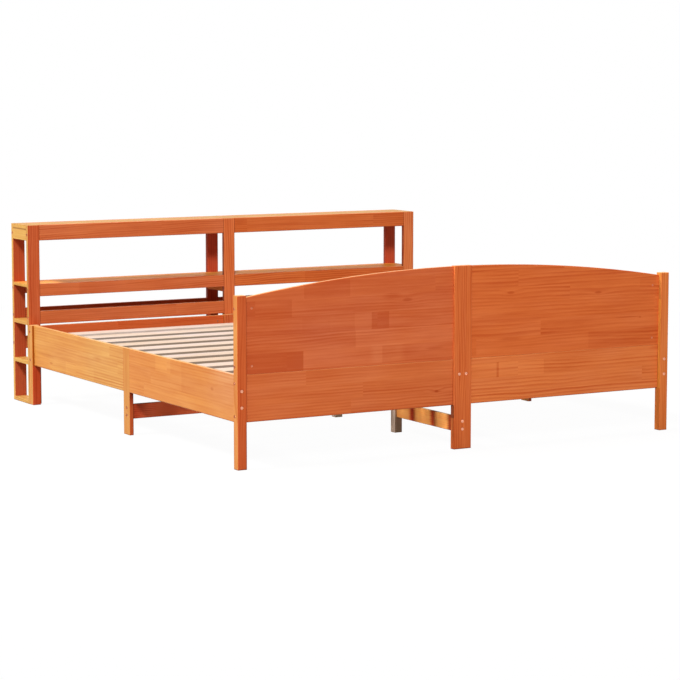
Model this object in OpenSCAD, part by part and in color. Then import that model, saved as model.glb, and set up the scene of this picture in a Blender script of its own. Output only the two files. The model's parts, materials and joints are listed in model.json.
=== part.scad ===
// Knock-down pine bed frame with an arched foot end and a bookcase headboard.
// X runs across the bed, +Y towards the headboard, Z up. Sizes are in millimetres.
// The origin is on the floor, under the middle of the whole bed.
// Every butt joint is drawn up by a bolt or a tie rod that screws into barrel nuts
// let into the faces of the boards, and dowels hold the bookcase shelves and spreaders.

/* [Mattress space] */
// Clear width between the two side rails
mattress_w = 2000; // [1600:10:2200]
// Length of the mattress that the frame takes
mattress_l = 2000; // [1800:10:2200]
// Spare length between the mattress and the head boards
mattress_play = 2; // [0:1:20]

/* [Posts and legs] */
// Width of a corner post, across the bed
post_w = 40; // [36:1:60]
// Depth of a corner post, along the bed
post_d = 35; // [32:1:50]
// How far the foot corner posts stand above the ends of the arch
post_rise = 10; // [0:1:40]
// Width of the centre posts of the foot end and the head end
centre_post_w = 83; // [70:1:110]
// Thickness of the centre posts
centre_post_t = 26; // [22:1:32]
// How far the foot centre post stands above the crown of the arch
centre_post_rise = 2; // [0:1:20]
// Height of the head centre post
head_post_h = 362; // [345:1:365]
// Width of the leg between the two halves of a side rail
mid_leg_w = 60; // [50:1:90]
// Side of the square legs under the centre beam
centre_leg_w = 35; // [30:1:50]
// Distance from one centre leg to the next
centre_leg_pitch = 504; // [400:2:560]
// Rounding of the edges of posts and legs
post_ease = 3; // [1:0.5:4]

/* [Rails and boards] */
// Thickness of rails, foot boards, head boards and stretchers
board_t = 18; // [17:1:22]
// Height of rails, lower foot boards and head boards
board_h = 184; // [160:1:220]
// Height of the rails and foot boards above the floor
board_z = 181; // [150:1:220]
// How far the head boards sit below the side rails
head_drop = 5; // [0:1:20]
// How far a side rail is set back from the outer face of its posts
rail_recess = 9.5; // [4:0.5:14]
// Rounding of the long edges of boards
board_ease = 2; // [0.5:0.5:3]

/* [Arched foot end] */
// Height of the arch where it meets the corner posts
arch_side_h = 662; // [600:1:680]
// Height of the arch at its crown
arch_top_h = 742; // [700:1:800]

/* [Centre beam and stretchers] */
// Width of the beam under the inner ends of the slats
beam_w = 60; // [54:1:80]
// Height of the centre beam
beam_h = 30; // [26:1:40]
// Height of the low stretchers
stretcher_h = 62; // [56:1:80]
// Height of the lower edge of the stretchers above the floor
stretcher_z = 66; // [50:1:80]

/* [Slats] */
// Number of slats in each of the two columns
slat_count = 12; // [8:1:14]
// Width of a slat
slat_w = 93; // [60:1:100]
// Thickness of a slat
slat_t = 12; // [10:1:16]
// Height of the top of the slats above the floor
slat_top_h = 333; // [325:1:340]
// Gap between the foot boards and the first slat
slat_foot_gap = 23; // [10:1:40]
// Gap between the last slat and the head boards
slat_head_gap = 100; // [80:1:120]
// Gap between the end of a slat and the side rail
slat_play = 3; // [1:0.5:6]
// Gap between the two columns of slats over the beam
slat_split = 4; // [2:1:10]
// Rounding of the long edges of a slat
slat_ease = 1.5; // [0.5:0.5:3]
// Width of the cleats that carry the slats
cleat_w = 20; // [16:1:28]
// Height of the cleats
cleat_h = 30; // [24:1:40]
// Gap between the end of a cleat and the barrel nuts beside it
cleat_clear = 3; // [1:1:10]

/* [Bookcase headboard] */
// Height of the bookcase
case_h = 818; // [760:1:900]
// Depth of the bookcase from its front face to its back face
case_d = 195; // [160:1:240]
// Width of a bookcase post
case_post_w = 57; // [50:1:70]
// Thickness of the posts and rails of the two bookcase frames
case_t = 20; // [18:1:24]
// Height of the top rails
top_rail_h = 70; // [64:1:80]
// Thickness of the top board
top_board_t = 18; // [16:1:22]
// Height of the top of the shelf above the floor
shelf_top_h = 549; // [535:1:580]
// Thickness of the shelf
shelf_t = 14; // [12:1:18]
// Height of the rails along the shelf
shelf_rail_h = 56; // [52:1:64]
// Height of the rails below the shelf
second_rail_h = 59; // [50:1:70]
// Height of the lower edge of those rails above the floor
second_rail_z = 366; // [360:1:380]
// Height of the bottom rails at the back
bottom_rail_h = 57; // [50:1:70]
// Height of the lower edge of the bottom rails above the floor
bottom_rail_z = 237; // [220:1:250]
// Thickness of the boards that hold front and back posts apart
spreader_t = 18; // [16:1:22]
// Height from one spreader to the next above it
spreader_pitch = 181; // [160:1:190]
// Thickness of the aprons under the top board
apron_t = 18; // [16:1:22]
// Height of the block that carries the shelf at the centre posts
bearer_h = 66; // [50:1:80]

/* [Bolts and barrel nuts] */
// Diameter of bolts and tie rods
bolt_d = 6; // [5:0.5:7]
// Diameter of a bolt head
head_d = 13; // [11:0.5:14]
// Thickness of a bolt head
head_t = 2.5; // [2:0.1:2.9]
// Depth of the recess that the head sits in
head_sink = 3; // [3:0.1:4]
// Width across the corners of the hexagon socket in the head
socket_d = 4.6; // [4:0.1:5.4]
// Depth of the hexagon socket
socket_deep = 1.6; // [1:0.1:1.9]
// Diameter of a barrel nut
nut_d = 10; // [9:0.5:12]
// Length of a barrel nut
nut_l = 14; // [12:0.5:15]
// Distance from the joint face to the middle of its barrel nut
nut_in = 32; // [28:1:40]
// How far a bolt runs on past its barrel nut
bolt_tail = 3; // [1:0.5:6]
// Pitch of the furniture grid that the pairs of bolts keep to
grid = 32; // [30:1:34]
// Height of the lower board bolts above the bottom edge of the board
board_bolt_up = 24; // [20:1:30]
// Depth of the upper arch bolt below the end of the arch
arch_bolt_down = 42; // [36:1:60]
// Height of the lower bolt that holds the bookcase to the bed
fix_low = 50; // [46:1:54]
// Height of the upper bolt that holds the bookcase to the bed
fix_high = 144; // [142:1:150]
// Gap around a bolt in its hole
bolt_play = 0.3; // [0.1:0.1:0.6]
// Gap between the tip of a bolt or tie rod and the end of its hole
end_play = 1; // [0.5:0.5:3]
// Gap around a barrel nut in its hole
nut_play = 0.1; // [0.05:0.05:0.3]
// Gap between a bolt and the thread of its barrel nut
thread_play = 0.05; // [0.02:0.01:0.1]
// Width and depth of the screwdriver slot in a barrel nut
slot = 1.4; // [1:0.1:2]

/* [Dowels] */
// Diameter of a dowel
dowel_d = 8; // [6:1:10]
// Depth of a dowel in the face of a post, rail or beam
dowel_face = 12; // [8:1:14]
// Depth of a dowel in the end or edge of the other piece
dowel_end = 18; // [14:1:24]
// Distance between the two dowels of a pair
dowel_gap = 28; // [24:1:32]
// Gap around a dowel and at its ends
dowel_play = 0.2; // [0.1:0.1:0.4]

/* [Hidden] */

$fn = 40;
arch_fn = 1080;
cut = 1; // how far a cut runs on past the face that it opens
left = -1;
right = 1;

stain = "#cf6a34";
bare_pine = "#f0ddc6";
grey_pine = "#b3a08a";
steel = "#c9c5c0";
beech = "#d9b98c";

// Places across the bed, measured from its middle
x_in = mattress_w / 2;
x_rail = x_in + board_t / 2;
x_out = x_in + board_t + rail_recess;
x_post_in = x_out - post_w;
x_centre = centre_post_w / 2;
x_case_in = x_out - case_post_w;
x_case_mid = case_post_w / 2;
x_case_post = x_out - case_post_w / 2;

// Places along the bed, measured from the front of the foot posts
y_foot_board = post_d - board_t / 2;
y_foot_front = post_d - centre_post_t;
y_bed = post_d + mattress_l + mattress_play + board_t;
y_head_board = y_bed - board_t / 2;
y_head_leg = y_bed - post_d;
y_head_post = y_bed - centre_post_t;
y_mid = (post_d + y_head_leg) / 2;
y_leg_foot = y_mid - centre_leg_pitch;
y_leg_head = y_mid + centre_leg_pitch;
y_total = y_bed + case_d;
y_front_frame = y_bed + case_t / 2;
y_back_frame = y_total - case_t / 2;
y_shelf = y_bed + case_t;
shelf_d = case_d - 2 * case_t;

// Heights above the floor
rail_top = board_z + board_h;
rail_mid = board_z + board_h / 2;
head_board_z = board_z - head_drop;
foot_post_h = arch_side_h + post_rise;
slat_z = slat_top_h - slat_t;
beam_mid = slat_z - beam_h / 2;
beam_z = slat_z - beam_h;
cleat_setback = nut_in + nut_d / 2 + cleat_clear; // clear of the nuts at the end of a rail
stretcher_mid = stretcher_z + stretcher_h / 2;
top_rail_z = case_h - top_rail_h;
apron_h = top_rail_h - top_board_t;
shelf_z = shelf_top_h - shelf_t;
shelf_rail_z = shelf_top_h - shelf_rail_h;
bearer_z = shelf_z - bearer_h;

// The arch is one circle through its crown and the inner faces of the corner posts
arch_fall = arch_top_h - arch_side_h;
arch_r = (x_post_in * x_post_in + arch_fall * arch_fall) / (2 * arch_fall);

// Heights of the bolts
rail_bolt_zs = [rail_mid - grid, rail_mid + grid];
board_bolt_zs = [board_z + board_bolt_up, rail_top - grid];
arch_bolt_zs = [rail_top + grid, arch_side_h - arch_bolt_down];
stretcher_bolt_zs = [stretcher_mid - grid / 2, stretcher_mid + grid / 2];
fix_zs = [fix_low, fix_high];
front_rail_zs = [
    top_rail_z + apron_h / 2,
    shelf_rail_z + shelf_rail_h / 2,
    second_rail_z + second_rail_h / 2
];
back_rail_zs = concat(front_rail_zs, [bottom_rail_z + bottom_rail_h / 2]);

// A bolt is [centre of its recess, direction, thickness that it clamps,
// way that the hole of its nut opens, depth of the nut there, distance of the nut]
foot_rail_bolts = [for (z = rail_bolt_zs) [[-x_rail, 0, z], [0, 1, 0], post_d, [1, 0, 0], board_t / 2, nut_in]];
foot_board_bolts = [
    for (z = board_bolt_zs) [[-x_out, y_foot_board, z], [1, 0, 0], post_w, [0, 1, 0], board_t / 2, nut_in]
];
arch_bolts = [
    for (z = arch_bolt_zs) [[-x_out, y_foot_board, z], [1, 0, 0], post_w, [0, -1, 0], board_t / 2, nut_in]
];
head_rail_bolts = [
    for (z = rail_bolt_zs) [[-x_rail, y_bed, z], [0, -1, 0], post_d, [1, 0, 0], board_t / 2, nut_in]
];
head_board_bolts = [
    for (z = board_bolt_zs) [[-x_out, y_head_board, z], [1, 0, 0], post_w, [0, -1, 0], board_t / 2, nut_in]
];
side_stretcher_bolts = [
    for (z = stretcher_bolt_zs)
        [[-x_rail - board_t / 2, y_mid, z], [1, 0, 0], board_t, [0, 1, 0], board_t / 2, nut_in]
];
foot_beam_bolts = [
    for (side = [left, right])
        [[side * grid / 2, y_foot_front, beam_mid], [0, 1, 0], centre_post_t, [0, 0, -1], beam_h / 2, nut_in]
];
head_beam_bolts = [
    for (side = [left, right])
        [[side * grid / 2, y_bed, beam_mid], [0, -1, 0], centre_post_t, [0, 0, -1], beam_h / 2, nut_in]
];
foot_stretcher_bolts = [
    for (z = stretcher_bolt_zs)
        [[0, y_foot_front, z], [0, 1, 0], centre_post_t, [1, 0, 0], board_t / 2, nut_in]
];
head_stretcher_bolts = [
    for (z = stretcher_bolt_zs) [[0, y_bed, z], [0, -1, 0], centre_post_t, [1, 0, 0], board_t / 2, nut_in]
];
foot_leg_bolts = [
    for (z = stretcher_bolt_zs)
        [[0, y_leg_foot + centre_leg_w / 2, z], [0, -1, 0], centre_leg_w, [1, 0, 0], board_t / 2, nut_in]
];
head_leg_bolts = [
    for (z = stretcher_bolt_zs)
        [[0, y_leg_head - centre_leg_w / 2, z], [0, 1, 0], centre_leg_w, [1, 0, 0], board_t / 2, nut_in]
];
side_fix_bolts = [
    for (z = fix_zs)
        [[-x_out + post_w / 2, y_shelf, z], [0, -1, 0], case_t, [1, 0, 0], post_w / 2, post_d / 2]
];
centre_fix_bolts = [
    for (z = fix_zs) [[0, y_shelf, z], [0, -1, 0], case_t, [-1, 0, 0], x_centre, centre_post_t / 2]
];
front_frame_bolts = [
    for (z = front_rail_zs)
        [[-x_out, y_front_frame, z], [1, 0, 0], case_post_w, [0, 1, 0], case_t / 2, nut_in]
];
back_frame_bolts = [
    for (z = back_rail_zs)
        [[-x_out, y_back_frame, z], [1, 0, 0], case_post_w, [0, 1, 0], case_t / 2, nut_in]
];
side_bolts = concat(
    foot_rail_bolts, foot_board_bolts, arch_bolts, head_rail_bolts, head_board_bolts,
    side_stretcher_bolts, side_fix_bolts, front_frame_bolts, back_frame_bolts
);
centre_bolts = concat(
    foot_beam_bolts, head_beam_bolts, foot_stretcher_bolts, head_stretcher_bolts,
    foot_leg_bolts, head_leg_bolts, centre_fix_bolts
);

// A tie is [its middle, direction, thickness that it clamps,
// way that the holes of its two nuts open, depth of the nuts there]
foot_ties = [
    for (z = concat(board_bolt_zs, arch_bolt_zs))
        [[0, y_foot_board, z], [1, 0, 0], centre_post_w, [0, 1, 0], board_t / 2]
];
head_ties = [
    for (z = board_bolt_zs) [[0, y_head_board, z], [1, 0, 0], centre_post_w, [0, -1, 0], board_t / 2]
];
rail_ties = [
    for (z = rail_bolt_zs) [[-x_rail, y_mid, z], [0, 1, 0], mid_leg_w, [1, 0, 0], board_t / 2]
];
stretcher_ties = [
    for (z = stretcher_bolt_zs) [[0, y_mid, z], [1, 0, 0], centre_leg_w, [0, 1, 0], board_t / 2]
];
front_frame_ties = [
    for (z = front_rail_zs) [[0, y_front_frame, z], [1, 0, 0], case_post_w, [0, 1, 0], case_t / 2]
];
back_frame_ties = [
    for (z = back_rail_zs) [[0, y_back_frame, z], [1, 0, 0], case_post_w, [0, 1, 0], case_t / 2]
];
centre_ties = concat(foot_ties, head_ties, stretcher_ties, front_frame_ties, back_frame_ties);

// A dowel is [its place in the joint face, direction into the end or edge]
shelf_span = x_case_in - x_case_mid;
board_dowel_xs = [for (step = [1, 3, 5]) -x_case_mid - shelf_span * step / 6];
function board_dowels(z) = [
    for (x = board_dowel_xs) each [
        [[x, y_shelf, z], [0, 1, 0]],
        [[x, y_shelf + shelf_d, z], [0, -1, 0]]
    ]
];
function pair_dowels(x, z) = [
    for (side = [left, right]) each [
        [[x + side * dowel_gap / 2, y_shelf, z], [0, 1, 0]],
        [[x + side * dowel_gap / 2, y_shelf + shelf_d, z], [0, -1, 0]]
    ]
];
function apron_dowels(x) = [
    for (side = [left, right]) each [
        [[x, y_shelf, front_rail_zs[0] + side * dowel_gap / 2], [0, 1, 0]],
        [[x, y_shelf + shelf_d, front_rail_zs[0] + side * dowel_gap / 2], [0, -1, 0]]
    ]
];
spreader_zs = [for (level = [0:2]) level * spreader_pitch];
top_board_dowels = board_dowels(case_h - top_board_t / 2);
shelf_dowels = board_dowels(shelf_top_h - shelf_t / 2);
side_spreader_dowels = [for (z = spreader_zs) each pair_dowels(-x_case_post, z + spreader_t / 2)];
centre_spreader_dowels = [for (z = spreader_zs) each pair_dowels(0, z + spreader_t / 2)];
side_apron_dowels = apron_dowels(-x_out + apron_t / 2);
centre_apron_dowels = apron_dowels(0);
bearer_dowels = pair_dowels(0, bearer_z + spreader_t);
foot_leg_dowels = [[[0, y_leg_foot, beam_z], [0, 0, -1]]];
head_leg_dowels = [[[0, y_leg_head, beam_z], [0, 0, -1]]];
mid_leg_dowels = [for (side = [left, right]) [[0, y_mid + side * centre_leg_w / 4, beam_z], [0, 0, -1]]];
side_dowels = concat(top_board_dowels, shelf_dowels, side_spreader_dowels, side_apron_dowels);
centre_dowels = concat(
    centre_spreader_dowels, centre_apron_dowels, bearer_dowels,
    foot_leg_dowels, head_leg_dowels, mid_leg_dowels
);

// Length of a bolt from the seat of its head to its tip
function bolt_end(b) = b[2] + b[5] + nut_d / 2 + bolt_tail;
function tie_half(t) = t[2] / 2 + nut_in + nut_d / 2 + bolt_tail;
function nut_at(b) = b[0] + b[1] * (b[2] + b[5]);
function tie_nut_at(t, side) = t[0] + side * t[1] * (t[2] / 2 + nut_in);

// Puts a piece drawn for the left side in its place, or mirrored on the right
module place(side = left) {
    translate([0, -y_total / 2, 0]) {
        if (side == right) mirror([1, 0, 0]) children();
        else children();
    }
}

// Turns a piece drawn along +Z so that it points along one axis
module lay(dir) {
    rotate([0, acos(dir.z), atan2(dir.y, dir.x)]) children();
}

module rounded_section(w, h, r) {
    translate([r, 0]) square([w - 2 * r, h]);
    translate([0, r]) square([w, h - 2 * r]);
    for (x = [r, w - r], y = [r, h - r]) translate([x, y]) circle(r);
}

// Boards with their four long edges rounded, lying along X, along Y or standing
module board_x(size, r) {
    rotate([90, 0, 90]) linear_extrude(size.x) rounded_section(size.y, size.z, r);
}
module board_y(size, r) {
    translate([0, size.y, 0]) rotate([90, 0, 0]) linear_extrude(size.y) rounded_section(size.x, size.z, r);
}
module board_z(size, r) {
    linear_extrude(size.z) rounded_section(size.x, size.y, r);
}

// A post with its ends eased as well as its long edges
module post(size, r) {
    intersection() {
        board_z(size, r);
        board_x(size, r);
        board_y(size, r);
    }
}

module bolt_holes(list) {
    for (b = list) {
        translate(b[0]) lay(b[1]) {
            translate([0, 0, -cut]) cylinder(h = head_sink + cut, d = head_d + 2 * bolt_play);
            cylinder(h = bolt_end(b) + end_play, d = bolt_d + 2 * bolt_play);
        }
        nut_hole(nut_at(b), b[3], b[4]);
    }
}

module tie_holes(list) {
    for (t = list) {
        translate(t[0]) lay(t[1]) translate([0, 0, -tie_half(t) - end_play])
            cylinder(h = 2 * (tie_half(t) + end_play), d = bolt_d + 2 * bolt_play);
        for (side = [left, right]) nut_hole(tie_nut_at(t, side), t[3], t[4]);
    }
}

module nut_hole(at, open, depth) {
    translate(at) lay(open) translate([0, 0, -nut_l / 2 - nut_play])
        cylinder(h = nut_l / 2 + nut_play + depth + cut, d = nut_d + 2 * nut_play);
}

module dowel_holes(list) {
    for (peg = list) translate(peg[0]) lay(peg[1]) translate([0, 0, -dowel_face - dowel_play])
        cylinder(h = dowel_face + dowel_end + 2 * dowel_play, d = dowel_d + 2 * dowel_play);
}

// Furniture bolt with a flat head, a bevelled rim and a hexagon socket
module bolt(b) {
    rim = head_t / 3;
    translate(b[0]) lay(b[1]) difference() {
        union() {
            translate([0, 0, head_sink - head_t]) cylinder(h = rim, d1 = head_d - 2 * rim, d2 = head_d);
            translate([0, 0, head_sink - head_t + rim]) cylinder(h = head_t - rim, d = head_d);
            translate([0, 0, head_sink - rim]) cylinder(h = bolt_end(b) - head_sink + rim, d = bolt_d);
        }
        translate([0, 0, head_sink - head_t - cut]) cylinder(h = socket_deep + cut, d = socket_d, $fn = 6);
    }
}

module barrel_nut(at, dir, open) {
    difference() {
        translate(at) lay(open) difference() {
            translate([0, 0, -nut_l / 2]) cylinder(h = nut_l, d = nut_d);
            translate([-nut_d / 2 - cut, -slot / 2, nut_l / 2 - slot])
                cube([nut_d + 2 * cut, slot, slot + cut]);
        }
        translate(at) lay(dir) translate([0, 0, -nut_d])
            cylinder(h = 2 * nut_d, d = bolt_d + 2 * thread_play);
    }
}

// Foot end

module foot_post(side) place(side) color(stain) difference() {
    translate([-x_out, 0, 0]) post([post_w, post_d, foot_post_h], post_ease);
    bolt_holes(foot_rail_bolts);
    bolt_holes(foot_board_bolts);
    bolt_holes(arch_bolts);
}

module foot_post_centre() place() color(stain) difference() {
    translate([-x_centre, y_foot_front, 0])
        post([centre_post_w, centre_post_t, arch_top_h + centre_post_rise], post_ease);
    tie_holes(foot_ties);
    bolt_holes(foot_beam_bolts);
    bolt_holes(foot_stretcher_bolts);
}

// Slice of a very large disc with a bevelled rim, whose edge is the arch
module arch_disc() {
    translate([0, post_d, arch_top_h - arch_r]) rotate([90, 0, 0]) rotate_extrude($fn = arch_fn) polygon([
        [0, 0], [arch_r - board_ease, 0], [arch_r, board_ease],
        [arch_r, board_t - board_ease], [arch_r - board_ease, board_t], [0, board_t]
    ]);
}

module foot_arch_panel(side) place(side) color(stain) difference() {
    intersection() {
        translate([-x_post_in, post_d - board_t, rail_top])
            board_x([x_post_in - x_centre, board_t, arch_top_h], board_ease);
        arch_disc();
    }
    bolt_holes(arch_bolts);
    tie_holes(foot_ties);
}

module foot_board(side) place(side) color(stain) difference() {
    translate([-x_post_in, post_d - board_t, board_z])
        board_x([x_post_in - x_centre, board_t, board_h], board_ease);
    bolt_holes(foot_board_bolts);
    tie_holes(foot_ties);
}

// Side rails and their legs

module side_rail_foot(side) place(side) color(stain) difference() {
    translate([-x_in - board_t, post_d, board_z])
        board_y([board_t, y_mid - mid_leg_w / 2 - post_d, board_h], board_ease);
    bolt_holes(foot_rail_bolts);
    tie_holes(rail_ties);
}

module side_rail_head(side) place(side) color(stain) difference() {
    translate([-x_in - board_t, y_mid + mid_leg_w / 2, board_z])
        board_y([board_t, y_head_leg - y_mid - mid_leg_w / 2, board_h], board_ease);
    bolt_holes(head_rail_bolts);
    tie_holes(rail_ties);
}

module mid_leg(side) place(side) color(stain) difference() {
    translate([-x_in - board_t, y_mid - mid_leg_w / 2, 0]) board_z([board_t, mid_leg_w, rail_top], board_ease);
    tie_holes(rail_ties);
    bolt_holes(side_stretcher_bolts);
}

// Head end

module head_leg(side) place(side) color(stain) difference() {
    translate([-x_out, y_head_leg, 0]) post([post_w, post_d, rail_top], post_ease);
    bolt_holes(head_rail_bolts);
    bolt_holes(head_board_bolts);
    bolt_holes(side_fix_bolts);
}

module head_post_centre() place() color(stain) difference() {
    translate([-x_centre, y_head_post, 0]) post([centre_post_w, centre_post_t, head_post_h], post_ease);
    tie_holes(head_ties);
    bolt_holes(head_beam_bolts);
    bolt_holes(head_stretcher_bolts);
    bolt_holes(centre_fix_bolts);
}

module head_board(side) place(side) color(stain) difference() {
    translate([-x_post_in, y_bed - board_t, head_board_z])
        board_x([x_post_in - x_centre, board_t, board_h], board_ease);
    bolt_holes(head_board_bolts);
    tie_holes(head_ties);
}

// Centre support

module centre_beam_foot() place() color(bare_pine) difference() {
    translate([-beam_w / 2, post_d, beam_z]) board_y([beam_w, y_mid - post_d, beam_h], board_ease);
    bolt_holes(foot_beam_bolts);
    dowel_holes(foot_leg_dowels);
    dowel_holes(mid_leg_dowels);
}

module centre_beam_head() place() color(bare_pine) difference() {
    translate([-beam_w / 2, y_mid, beam_z]) board_y([beam_w, y_head_post - y_mid, beam_h], board_ease);
    bolt_holes(head_beam_bolts);
    dowel_holes(head_leg_dowels);
    dowel_holes(mid_leg_dowels);
}

module centre_leg(y) {
    translate([-centre_leg_w / 2, y - centre_leg_w / 2, 0])
        board_z([centre_leg_w, centre_leg_w, beam_z], board_ease);
}

module centre_leg_foot() place() color(grey_pine) difference() {
    centre_leg(y_leg_foot);
    bolt_holes(foot_leg_bolts);
    dowel_holes(foot_leg_dowels);
}

module centre_leg_middle() place() color(grey_pine) difference() {
    centre_leg(y_mid);
    tie_holes(stretcher_ties);
    dowel_holes(mid_leg_dowels);
}

module centre_leg_head() place() color(grey_pine) difference() {
    centre_leg(y_leg_head);
    bolt_holes(head_leg_bolts);
    dowel_holes(head_leg_dowels);
}

module low_stretcher_foot() place() color(stain) difference() {
    translate([-board_t / 2, post_d, stretcher_z])
        board_y([board_t, y_leg_foot - centre_leg_w / 2 - post_d, stretcher_h], board_ease);
    bolt_holes(foot_stretcher_bolts);
    bolt_holes(foot_leg_bolts);
}

module low_stretcher_head() place() color(stain) difference() {
    translate([-board_t / 2, y_leg_head + centre_leg_w / 2, stretcher_z])
        board_y([board_t, y_head_post - y_leg_head - centre_leg_w / 2, stretcher_h], board_ease);
    bolt_holes(head_stretcher_bolts);
    bolt_holes(head_leg_bolts);
}

module low_stretcher_side(side) place(side) color(stain) difference() {
    translate([-x_in, y_mid - board_t / 2, stretcher_z])
        board_x([x_in - centre_leg_w / 2, board_t, stretcher_h], board_ease);
    bolt_holes(side_stretcher_bolts);
    tie_holes(stretcher_ties);
}

// Slats and the cleats along the inner faces of the rails

module cleat_pair() {
    foot_end = post_d + cleat_setback;
    mid_gap = mid_leg_w / 2 + cleat_setback;
    head_end = y_head_leg - cleat_setback;
    translate([-x_in, foot_end, slat_z - cleat_h])
        board_y([cleat_w, y_mid - mid_gap - foot_end, cleat_h], board_ease);
    translate([-x_in, y_mid + mid_gap, slat_z - cleat_h])
        board_y([cleat_w, head_end - y_mid - mid_gap, cleat_h], board_ease);
}

module slat_cleats() color(bare_pine) {
    place(left) cleat_pair();
    place(right) cleat_pair();
}

module slats(side) place(side) color(bare_pine) {
    first = post_d + slat_foot_gap;
    last = y_bed - board_t - slat_head_gap - slat_w;
    pitch = (last - first) / (slat_count - 1);
    for (i = [0:slat_count - 1]) translate([-x_in + slat_play, first + i * pitch, slat_z])
        board_x([x_in - slat_play - slat_split / 2, slat_w, slat_t], slat_ease);
}

// Bookcase frames

module case_front_post(side) place(side) color(stain) difference() {
    translate([-x_out, y_bed, 0]) post([case_post_w, case_t, case_h], board_ease);
    bolt_holes(front_frame_bolts);
    bolt_holes(side_fix_bolts);
    dowel_holes(side_spreader_dowels);
    dowel_holes(side_apron_dowels);
}

module case_front_post_centre() place() color(stain) difference() {
    translate([-x_case_mid, y_bed, 0]) post([case_post_w, case_t, case_h], board_ease);
    tie_holes(front_frame_ties);
    bolt_holes(centre_fix_bolts);
    dowel_holes(centre_spreader_dowels);
    dowel_holes(centre_apron_dowels);
    dowel_holes(bearer_dowels);
}

module case_back_post(side) place(side) color(stain) difference() {
    translate([-x_out, y_total - case_t, 0]) post([case_post_w, case_t, case_h], board_ease);
    bolt_holes(back_frame_bolts);
    dowel_holes(side_spreader_dowels);
    dowel_holes(side_apron_dowels);
}

module case_back_post_centre() place() color(stain) difference() {
    translate([-x_case_mid, y_total - case_t, 0]) post([case_post_w, case_t, case_h], board_ease);
    tie_holes(back_frame_ties);
    dowel_holes(centre_spreader_dowels);
    dowel_holes(centre_apron_dowels);
    dowel_holes(bearer_dowels);
}

// One rail of the left half of a frame, whose middle plane is at y
module case_rail(y, z, h) {
    translate([-x_case_in, y - case_t / 2, z]) board_x([shelf_span, case_t, h], board_ease);
}

module front_top_rail(side) place(side) color(stain) difference() {
    case_rail(y_front_frame, top_rail_z, top_rail_h);
    bolt_holes([front_frame_bolts[0]]);
    tie_holes([front_frame_ties[0]]);
    dowel_holes(top_board_dowels);
}

module back_top_rail(side) place(side) color(stain) difference() {
    case_rail(y_back_frame, top_rail_z, top_rail_h);
    bolt_holes([back_frame_bolts[0]]);
    tie_holes([back_frame_ties[0]]);
    dowel_holes(top_board_dowels);
}

module front_shelf_rail(side) place(side) color(stain) difference() {
    case_rail(y_front_frame, shelf_rail_z, shelf_rail_h);
    bolt_holes([front_frame_bolts[1]]);
    tie_holes([front_frame_ties[1]]);
    dowel_holes(shelf_dowels);
}

module back_shelf_rail(side) place(side) color(stain) difference() {
    case_rail(y_back_frame, shelf_rail_z, shelf_rail_h);
    bolt_holes([back_frame_bolts[1]]);
    tie_holes([back_frame_ties[1]]);
    dowel_holes(shelf_dowels);
}

module front_second_rail(side) place(side) color(stain) difference() {
    case_rail(y_front_frame, second_rail_z, second_rail_h);
    bolt_holes([front_frame_bolts[2]]);
    tie_holes([front_frame_ties[2]]);
}

module back_second_rails() color(stain) {
    for (side = [left, right]) place(side) difference() {
        case_rail(y_back_frame, second_rail_z, second_rail_h);
        bolt_holes([back_frame_bolts[2]]);
        tie_holes([back_frame_ties[2]]);
    }
}

module back_bottom_rails() color(stain) {
    for (side = [left, right]) place(side) difference() {
        case_rail(y_back_frame, bottom_rail_z, bottom_rail_h);
        bolt_holes([back_frame_bolts[3]]);
        tie_holes([back_frame_ties[3]]);
    }
}

// Boards and bearers between the two bookcase frames

module top_board(side) place(side) color(stain) difference() {
    translate([-x_out, y_shelf, case_h - top_board_t]) board_x([x_out, shelf_d, top_board_t], board_ease / 2);
    dowel_holes(top_board_dowels);
}

module shelf(side) place(side) color(stain) difference() {
    translate([-x_out, y_shelf, shelf_z]) board_x([x_out, shelf_d, shelf_t], board_ease / 2);
    dowel_holes(shelf_dowels);
}

module apron(x) {
    translate([x - apron_t / 2, y_shelf, top_rail_z]) board_y([apron_t, shelf_d, apron_h], board_ease / 2);
}

module top_aprons() color(stain) {
    for (side = [left, right]) place(side) difference() {
        apron(-x_out + apron_t / 2);
        dowel_holes(side_apron_dowels);
    }
    place() difference() {
        apron(0);
        dowel_holes(centre_apron_dowels);
    }
}

module spreader_column(x, dowels) {
    for (z = spreader_zs) difference() {
        translate([x - case_post_w / 2, y_shelf, z])
            board_y([case_post_w, shelf_d, spreader_t], board_ease / 2);
        dowel_holes(dowels);
    }
}

module spreaders() color(stain) {
    for (side = [left, right]) place(side) spreader_column(-x_case_post, side_spreader_dowels);
    place() spreader_column(0, centre_spreader_dowels);
}

module shelf_bearer() place() color(stain) difference() {
    translate([-x_case_mid, y_shelf, bearer_z]) board_y([case_post_w, shelf_d, bearer_h], board_ease / 2);
    dowel_holes(bearer_dowels);
}

// Fasteners

module bolts() color(steel) {
    for (side = [left, right]) place(side) for (b = side_bolts) bolt(b);
    place() for (b = centre_bolts) bolt(b);
}

module tie_rod(t) {
    translate(t[0]) lay(t[1]) translate([0, 0, -tie_half(t)]) cylinder(h = 2 * tie_half(t), d = bolt_d);
}

module tie_rods() color(steel) {
    for (side = [left, right]) place(side) for (t = rail_ties) tie_rod(t);
    place() for (t = centre_ties) tie_rod(t);
}

module barrel_nuts() color(steel) {
    for (side = [left, right]) place(side) {
        for (b = side_bolts) barrel_nut(nut_at(b), b[1], b[3]);
        for (t = rail_ties, end = [left, right]) barrel_nut(tie_nut_at(t, end), t[1], t[3]);
    }
    place() {
        for (b = centre_bolts) barrel_nut(nut_at(b), b[1], b[3]);
        for (t = centre_ties, end = [left, right]) barrel_nut(tie_nut_at(t, end), t[1], t[3]);
    }
}

module dowel(peg) {
    translate(peg[0]) lay(peg[1]) translate([0, 0, -dowel_face]) cylinder(h = dowel_face + dowel_end, d = dowel_d);
}

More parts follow.
